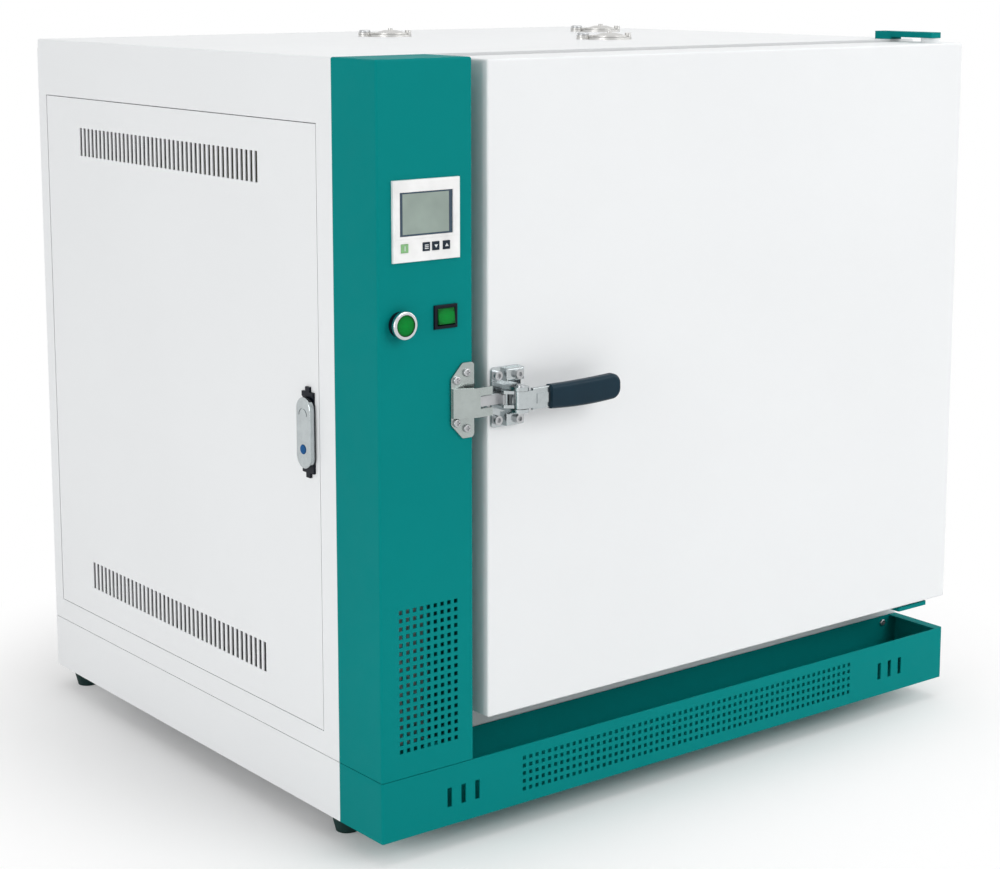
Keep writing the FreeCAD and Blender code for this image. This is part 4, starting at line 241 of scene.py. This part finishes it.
def ramp(tree, factor, *stops):
    """Colours or greys spread along a factor, each stop a position and a colour."""
    node = add(tree, "ValToRGB", Fac=factor)
    elements = node.color_ramp.elements
    while len(elements) < len(stops):
        elements.new(0.5)
    for element, (position, colour) in zip(elements, stops):
        element.position = position
        element.color = (*colour, 1.0) if isinstance(colour, tuple) else (colour, colour, colour, 1.0)
    return node.outputs["Color"]


def shade(colour, share):
    """Colour made lighter or darker."""
    return tuple(min(1.0, part * share) for part in colour)


def tones(tree, factor, colour, stops):
    """Tones of one colour along a factor, each stop a position and a share of the colour."""
    return ramp(tree, factor, *[(position, shade(colour, share)) for position, share in stops])


def tint(tree, factor, colour, spread):
    """Tones of one colour over a noise, darker and lighter by a share of it."""
    return tones(tree, factor, colour, ((NOISE_LOW, 1.0 - spread), (NOISE_HIGH, 1.0 + spread)))


def drift(tree, factor, low, high):
    """Greys from one to the other over a noise."""
    return ramp(tree, factor, (NOISE_LOW, low), (NOISE_HIGH, high))


def bump(tree, height, depth):
    """Surface relief of a depth in metres."""
    return add(tree, "Bump", Height=height, Distance=depth).outputs["Normal"]


def powder_coat(name, colour, rough, spread, specular=0.5):
    """Baked powder coat: slow drift of tone, fine orange peel and uneven gloss."""
    mat, tree = shader(name, Specular_IOR_Level=specular)
    where = place(tree)
    slow = noise(tree, where, PAINT_DRIFT, 3.0)
    gloss = noise(tree, where, PAINT_GLOSS, 3.0)
    peel = noise(tree, where, PAINT_PEEL, 2.0, 0.4)
    surface(tree, Base_Color=tint(tree, slow, colour, spread),
            Roughness=drift(tree, gloss, rough - PAINT_GLOSS_REACH, rough + PAINT_GLOSS_REACH),
            Normal=bump(tree, peel, PAINT_RELIEF))
    return mat


def brushed(name, colour):
    """Sheet metal with a fine grain drawn out along one axis."""
    mat, tree = shader(name, Metallic=1.0)
    grain = noise(tree, place(tree, SHEET_GRAIN), 1.0, 4.0, 0.65)
    cloud = noise(tree, place(tree), SHEET_CLOUD, 3.0)
    surface(tree, Base_Color=tones(tree, grain, colour, SHEET_TONES),
            Roughness=drift(tree, cloud, *SHEET_ROUGH), Normal=bump(tree, grain, SHEET_RELIEF))
    return mat


def plated(name, colour, rough, relief):
    """Plated casting: bright metal over a slightly uneven skin, with faint handling marks."""
    mat, tree = shader(name, Metallic=1.0)
    where = place(tree)
    smudge = noise(tree, where, PLATE_SMUDGE, 4.0, 0.6)
    skin = noise(tree, where, PLATE_SKIN, 3.0)
    marks = ((NOISE_LOW, 1.0 - PLATE_DARKER), (PLATE_BRIGHT, 1.0))
    surface(tree, Base_Color=tones(tree, smudge, colour, marks),
            Roughness=ramp(tree, smudge, (NOISE_LOW, rough + PLATE_DULLER), (PLATE_BRIGHT, rough)),
            Normal=bump(tree, skin, relief))
    return mat


def moulded(name, colour, rough, grain, relief, **values):
    """Moulded plastic or rubber: fine grain, slow drift of tone."""
    mat, tree = shader(name, **values)
    where = place(tree)
    slow = noise(tree, where, MOULD_DRIFT, 3.0)
    texture = noise(tree, where, grain, 2.0)
    surface(tree, Base_Color=tint(tree, slow, colour, MOULD_SPREAD),
            Roughness=drift(tree, slow, rough - MOULD_SMOOTHER, rough + MOULD_ROUGHER),
            Normal=bump(tree, texture, relief))
    return mat


def wool_batt(name):
    """Pressed mineral wool: tangled fibres and streaks of binder, with tone that follows its relief: painted
    shade in the hollows, lighter on the tops.
    """
    mat, tree = shader(name, Roughness=0.95, Sheen_Weight=0.25)
    fibres = noise(tree, place(tree, WOOL_FIBRES), 1.0, 5.0, 0.7)
    hollows = noise(tree, place(tree), WOOL_HOLLOWS, 5.0, 0.65)
    tangle = combine(tree, "MULTIPLY", fibres, hollows)
    # Darker in the relief's hollows is painted shade, lighter on its tops painted light
    surface(tree, Base_Color=tones(tree, tangle, WOOL, WOOL_BINDER_AND_SHADE_TONES), Normal=bump(tree, tangle, WOOL_DEPTH))
    return mat


def painted_glow_plastic(name, colour, node):
    """Tinted clear plastic over a lamp: a painted glow makes the middle of its face lighter, and painted
    shade makes its rim deeper.
    """
    mat, tree = shader(name, Roughness=0.3, Specular_IOR_Level=0.1, Subsurface_Weight=0.15,
                       Subsurface_Scale=CAP_SCATTER)
    low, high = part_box(node)
    half = (high - low) / 2
    flat = add(tree, "VectorMath", {"operation": "MULTIPLY"}, _0=place_from_middle(tree, low, high),
               _1=(1 / half.x, 0.0, 1 / half.z)).outputs[0]
    prisms = add(tree, "TexWave", {"wave_type": "BANDS", "bands_direction": "Z"}, Vector=place(tree),
                 Scale=CAP_PRISMS, Distortion=0.0).outputs["Fac"]
    # Painted glow in the middle of the face, painted shade towards its rim
    surface(tree, Base_Color=tones(tree, length(tree, flat), colour, CAP_GLOW_AND_SHADE_TONES),
            Normal=bump(tree, prisms, CAP_RELIEF))
    return mat


def lcd_glass(name):
    """Unlit liquid crystal panel behind glass, with a dark border that is wider at its two sides."""
    mat, tree = shader(name, Roughness=0.12, Coat_Weight=0.6, Coat_Roughness=0.05)
    low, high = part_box("controller_display")
    half = (high - low) / 2
    local = place_from_middle(tree, low, high)
    size = add(tree, "VectorMath", {"operation": "ABSOLUTE"}, _0=local).outputs[0]
    axes = add(tree, "SeparateXYZ", Vector=size)
    side = add(tree, "MapRange", Value=axes.outputs["X"], _1=half.x - LCD_SIDE - LCD_EDGE,
               _2=half.x - LCD_SIDE).outputs[0]
    rim = add(tree, "MapRange", Value=axes.outputs["Z"], _1=half.z - LCD_RIM - LCD_EDGE,
              _2=half.z - LCD_RIM).outputs[0]
    border = combine(tree, "MAXIMUM", side, rim)
    haze = noise(tree, place(tree), LCD_HAZE)
    panel = tones(tree, haze, LCD_GREY, LCD_TONES)
    surface(tree, Base_Color=add(tree, "MixRGB", Fac=border, Color1=panel,
                                 Color2=(*LCD_BORDER, 1.0)).outputs["Color"])
    return mat


# Material of each slot. After its colour a paint has roughness, spread of tone and specular level,
# a plated metal has roughness and relief, and a moulding has roughness, grain and relief.
MATERIALS = {
    "casing_white": powder_coat("white_powder_coat", WHITE_PAINT, 0.4, 0.012),
    "column_teal": powder_coat("teal_powder_coat", TEAL_PAINT, 0.55, 0.03, 0.05),
    "stainless": brushed("stainless_sheet", STAINLESS),
    "zinc_steel": plated("zinc_plated_steel", ZINC, 0.32, 0.00004),
    "latch_chrome": plated("bright_plated_casting", CHROME, 0.14, 0.00007),
    "mineral_wool": wool_batt("mineral_wool"),
    "seal_rubber": moulded("red_silicone", SEAL_RED, 0.55, 500.0, 0.00005),
    "foot_rubber": moulded("foot_rubber", RUBBER, 0.6, 300.0, 0.0001, Specular_IOR_Level=0.2),
    "motor_alloy": plated("cast_motor_alloy", ALLOY, 0.45, 0.0002),
    "bezel_cream": moulded("controller_bezel", CREAM, 0.35, 600.0, 0.00002),
    "display_grey": lcd_glass("unlit_display"),
    "black_plastic": moulded("black_plastic", BLACK, 0.38, 700.0, 0.00003, Specular_IOR_Level=0.15),
    # The green cap's lighter middle is a painted glow and its darker rim painted shade
    "green_plastic": painted_glow_plastic("green_button_cap", GREEN, "start_button_cap"),
    "key_green": moulded("green_key", KEY_GREEN, 0.4, 600.0, 0.00002),
    "key_dark": moulded("dark_key", KEY_DARK, 0.45, 600.0, 0.00002, Specular_IOR_Level=0.2),
    "blue_plastic": moulded("blue_button", BLUE, 0.3, 600.0, 0.00002, Specular_IOR_Level=0.1),
    "grip_black": moulded("dipped_vinyl", GRIP, 0.4, 260.0, 0.00006, Specular_IOR_Level=0.18),
}
KEY_MARK_PAINT = moulded("key_mark_paint", KEY_MARK, 0.5, 900.0, 0.00001)
# Nodes with a finish of their own, in place of their slot's
OWN_MATERIALS = {
    # The rocker's lighter middle is a painted glow and its darker rim painted shade
    "power_switch_rocker": painted_glow_plastic("green_rocker", GREEN, "power_switch_rocker"),
    # The keeper plate's darker grey-green is a painted reflection of the teal column on satin plating
    "keeper_plate": plated("satin_plate_painted_teal_reflection", SATIN_AND_TEAL_REFLECTION, 0.2, 0.00009),
    "start_button_ring": plated("bright_plated_ring", RING, 0.14, 0.00003),
}


def dress(obj, mat):
    """Give an object one material on all its faces."""
    slots = obj.material_slots
    if not slots:
        obj.data.materials.append(mat)
    for slot in slots:
        slot.material = mat


def dress_frame():
    """Give every CAD node the material of its slot, or its own."""
    for part in frame["record"]["subparts"]:
        mat = OWN_MATERIALS.get(part["node"], MATERIALS[part["material_slot"]])
        dress(NODES[part["node"]], mat)


def linked(name, data):
    """New object in the scene."""
    obj = bpy.data.objects.new(name, data)
    bpy.context.scene.collection.objects.link(obj)
    return obj


def settled(name, mesh):
    """Mesh data made from an edit mesh."""
    data = bpy.data.meshes.new(name)
    mesh.to_mesh(data)
    mesh.free()
    return data


def piece(name, mesh, mat, body):
    """New piece that rides on a body."""
    obj = linked(name, mesh)
    dress(obj, mat)
    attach(obj, body)
    return obj


# Silicone seal of the door: width and corner, and steps round a corner and over the bulb
SEAL_WIDTH = 0.025
SEAL_CORNER = 0.016
SEAL_CORNER_STEPS = 8
SEAL_BULB_STEPS = 10
# Half the bulb and the neck's inset as shares of its width, foot and neck as shares of its depth
SEAL_BULB_HALF = 0.34
SEAL_NECK_IN = 0.14
SEAL_FOOT_DEPTH = 0.3
SEAL_NECK_DEPTH = 0.36


def rounded_path(x0, x1, z0, z1, radius):
    """Points and outward directions round an upright rectangle with round corners."""
    path = []
    corners = ((x1 - radius, z1 - radius, 0), (x0 + radius, z1 - radius, 1),
               (x0 + radius, z0 + radius, 2), (x1 - radius, z0 + radius, 3))
    for cx, cz, quarter in corners:
        for step in range(SEAL_CORNER_STEPS + 1):
            angle = math.pi / 2 * (quarter + step / SEAL_CORNER_STEPS)
            out = Vector((math.cos(angle), 0.0, math.sin(angle)))
            path.append((Vector((cx, 0.0, cz)) + out * radius, out))
    return path


def seal_profile(width, depth):
    """Closed profile of the seal, outward and to the back: flat foot, narrow neck and round bulb."""
    foot = depth * SEAL_FOOT_DEPTH
    neck = depth * SEAL_NECK_DEPTH
    inset = width * SEAL_NECK_IN
    bulb = []
    for step in range(SEAL_BULB_STEPS + 1):
        angle = math.pi * step / SEAL_BULB_STEPS
        bulb.append((width * (0.5 + SEAL_BULB_HALF * math.cos(angle)), depth * (0.5 + 0.5 * math.sin(angle))))
    return [(0.0, 0.0), (width, 0.0), (width, foot), (width - inset, neck), *bulb, (inset, neck), (0.0, foot)]


def door_seal():
    """Bulb seal with a flat foot: one closed profile swept round the door's plug."""
    low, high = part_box("door_gasket")
    profile = seal_profile(SEAL_WIDTH, high.y - low.y)
    path = rounded_path(low.x + SEAL_WIDTH, high.x - SEAL_WIDTH, low.z + SEAL_WIDTH, high.z - SEAL_WIDTH,
                        SEAL_CORNER)
    mesh = bmesh.new()
    rings = []
    for point, out in path:
        rings.append([mesh.verts.new(point + out * across + Vector((0.0, low.y + back, 0.0)))
                      for across, back in profile])
    for ring, after in zip(rings, rings[1:] + rings[:1]):
        for index in range(len(profile)):
            nxt = (index + 1) % len(profile)
            mesh.faces.new((ring[index], ring[nxt], after[nxt], after[index]))
    bmesh.ops.recalc_face_normals(mesh, faces=mesh.faces)
    data = settled("door_seal", mesh)
    data.shade_smooth()
    seal = piece("door_seal", data, MATERIALS["seal_rubber"], "door")
    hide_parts("door_gasket")


# Size of the wool jacket's faces, then width and depth of its lumps
WOOL_VOXEL = 0.011
WOOL_LUMPS = 0.06
WOOL_RELIEF = 0.005


def wool_jacket():
    """Uneven batts of mineral wool round the chamber, made from the plain block."""
    source = NODES["insulation"]
    wool = piece("wool_jacket", source.data.copy(), MATERIALS["mineral_wool"], "cabinet")
    remesh = wool.modifiers.new("even_mesh", "REMESH")
    remesh.mode = "VOXEL"
    remesh.voxel_size = WOOL_VOXEL
    clouds = bpy.data.textures.new("wool_lumps", "CLOUDS")
    clouds.noise_scale = WOOL_LUMPS
    lumps = wool.modifiers.new("lumps", "DISPLACE")
    lumps.texture = clouds
    # A middle of 1 moves the surface inward only, so the jacket stays within the block
    lumps.mid_level = 1.0
    lumps.strength = WOOL_RELIEF
    lumps.texture_coords = "LOCAL"
    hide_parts("insulation")


# Marks on the keys: how far they stand out, and outlines in shares of a key's side
MARK_RISE = 0.00012
MARKS = {
    "power": [[(-0.05, -0.28), (0.05, -0.28), (0.05, 0.28), (-0.05, 0.28)]],
    "menu": [[(-0.26, z - 0.05), (0.26, z - 0.05), (0.26, z + 0.05), (-0.26, z + 0.05)]
             for z in (-0.2, 0.0, 0.2)],
    "down": [[(-0.26, 0.16), (0.0, -0.22), (0.26, 0.16)]],
    "up": [[(-0.26, -0.16), (0.26, -0.16), (0.0, 0.22)]],
}


def key_mark(key):
    """Small raised printed mark on the face of a key."""
    low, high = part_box("controller_key_" + key)
    side = high.x - low.x
    middle = (low + high) / 2
    mesh = bmesh.new()
    for outline in MARKS[key]:
        points = [Vector((middle.x + x * side, low.y, middle.z + z * side)) for x, z in outline]
        face = mesh.faces.new([mesh.verts.new(point) for point in points])
        grown = bmesh.ops.extrude_face_region(mesh, geom=[face])["geom"]
        top = [item for item in grown if isinstance(item, bmesh.types.BMVert)]
        bmesh.ops.translate(mesh, verts=top, vec=(0.0, -MARK_RISE, 0.0))
    bmesh.ops.recalc_face_normals(mesh, faces=mesh.faces)
    data = settled("key_mark_" + key, mesh)
    piece("key_mark_" + key, data, KEY_MARK_PAINT, "key_" + key)


def background_rays(tree):
    """1 for the rays that should meet the plain background: camera, glossy and transmission rays."""
    path = add(tree, "LightPath")
    bent = combine(tree, "MAXIMUM", path.outputs["Is Glossy Ray"], path.outputs["Is Transmission Ray"])
    return combine(tree, "MAXIMUM", path.outputs["Is Camera Ray"], bent)


def floor():
    """Wide pale floor that goes over to the white of the background away from the object."""
    mesh = bmesh.new()
    bmesh.ops.create_grid(mesh, x_segments=4, y_segments=4, size=FLOOR_HALF)
    ground = linked("studio_floor", settled("studio_floor", mesh))
    mat, tree = shader("studio_floor", Roughness=FLOOR_ROUGH)
    seen = background_rays(tree)
    grey = noise(tree, place(tree), FLOOR_CLOUD)
    bounce = drift(tree, grey, FLOOR_BOUNCE - FLOOR_DRIFT, FLOOR_BOUNCE + FLOOR_DRIFT)
    surface(tree, Base_Color=add(tree, "MixRGB", Fac=seen, Color1=bounce, Color2=FLOOR_SEEN).outputs["Color"])
    away = add(tree, "MapRange", {"interpolation_type": "SMOOTHSTEP"}, Value=length(tree, place(tree)),
               _1=FLOOR_NEAR, _2=FLOOR_FAR).outputs[0]
    plain = tree.nodes["Principled BSDF"].outputs[0]
    glow = add(tree, "Emission", Color=WHITE, Strength=1.0).outputs[0]
    mixed = add(tree, "MixShader", _0=combine(tree, "MULTIPLY", away, seen), _1=plain, _2=glow)
    feed(tree, tree.nodes["Material Output"].inputs["Surface"], mixed.outputs[0])
    dress(ground, mat)


def world():
    """Even soft light, and plain white wherever the background itself shows."""
    sky = bpy.data.worlds.new("studio")
    bpy.context.scene.world = sky
    sky.use_nodes = True
    tree = sky.node_tree
    tree.nodes.clear()
    light = add(tree, "Background", Color=WHITE, Strength=WORLD_LIGHT).outputs[0]
    white = add(tree, "Background", Color=WHITE, Strength=1.0).outputs[0]
    mixed = add(tree, "MixShader", _0=background_rays(tree), _1=light, _2=white)
    add(tree, "OutputWorld", Surface=mixed.outputs[0])


def lamp(name, spot, size, power):
    """Soft square lamp that points at the middle of the object."""
    data = bpy.data.lights.new(name, "AREA")
    data.size = size
    data.energy = power
    obj = linked(name, data)
    obj.location = spot
    aim = (cad_box[0] + cad_box[1]) / 2 - Vector(spot)
    obj.rotation_euler = aim.to_track_quat("-Z", "Y").to_euler()


def camera():
    """Camera of the photograph's view, with its optical axis a little above the middle of the picture."""
    data = bpy.data.cameras.new("camera")
    data.sensor_width = CAMERA_SENSOR
    data.lens = CAMERA_LENS
    data.shift_y = CAMERA_SHIFT_Y
    obj = linked("camera", data)
    yaw = math.radians(CAMERA_YAW)
    pitch = math.radians(CAMERA_PITCH)
    ahead = Vector((math.sin(yaw) * math.cos(pitch), math.cos(yaw) * math.cos(pitch), -math.sin(pitch)))
    obj.location = CAMERA_PLACE
    obj.rotation_euler = ahead.to_track_quat("-Z", "Y").to_euler()
    bpy.context.scene.camera = obj


bpy.context.scene.view_settings.view_transform = "Standard"
camera()
world()
for settings in LAMPS:
    lamp(*settings)
floor()
dress_frame()
door_seal()
wool_jacket()
for key_name in MARKS:
    key_mark(key_name)
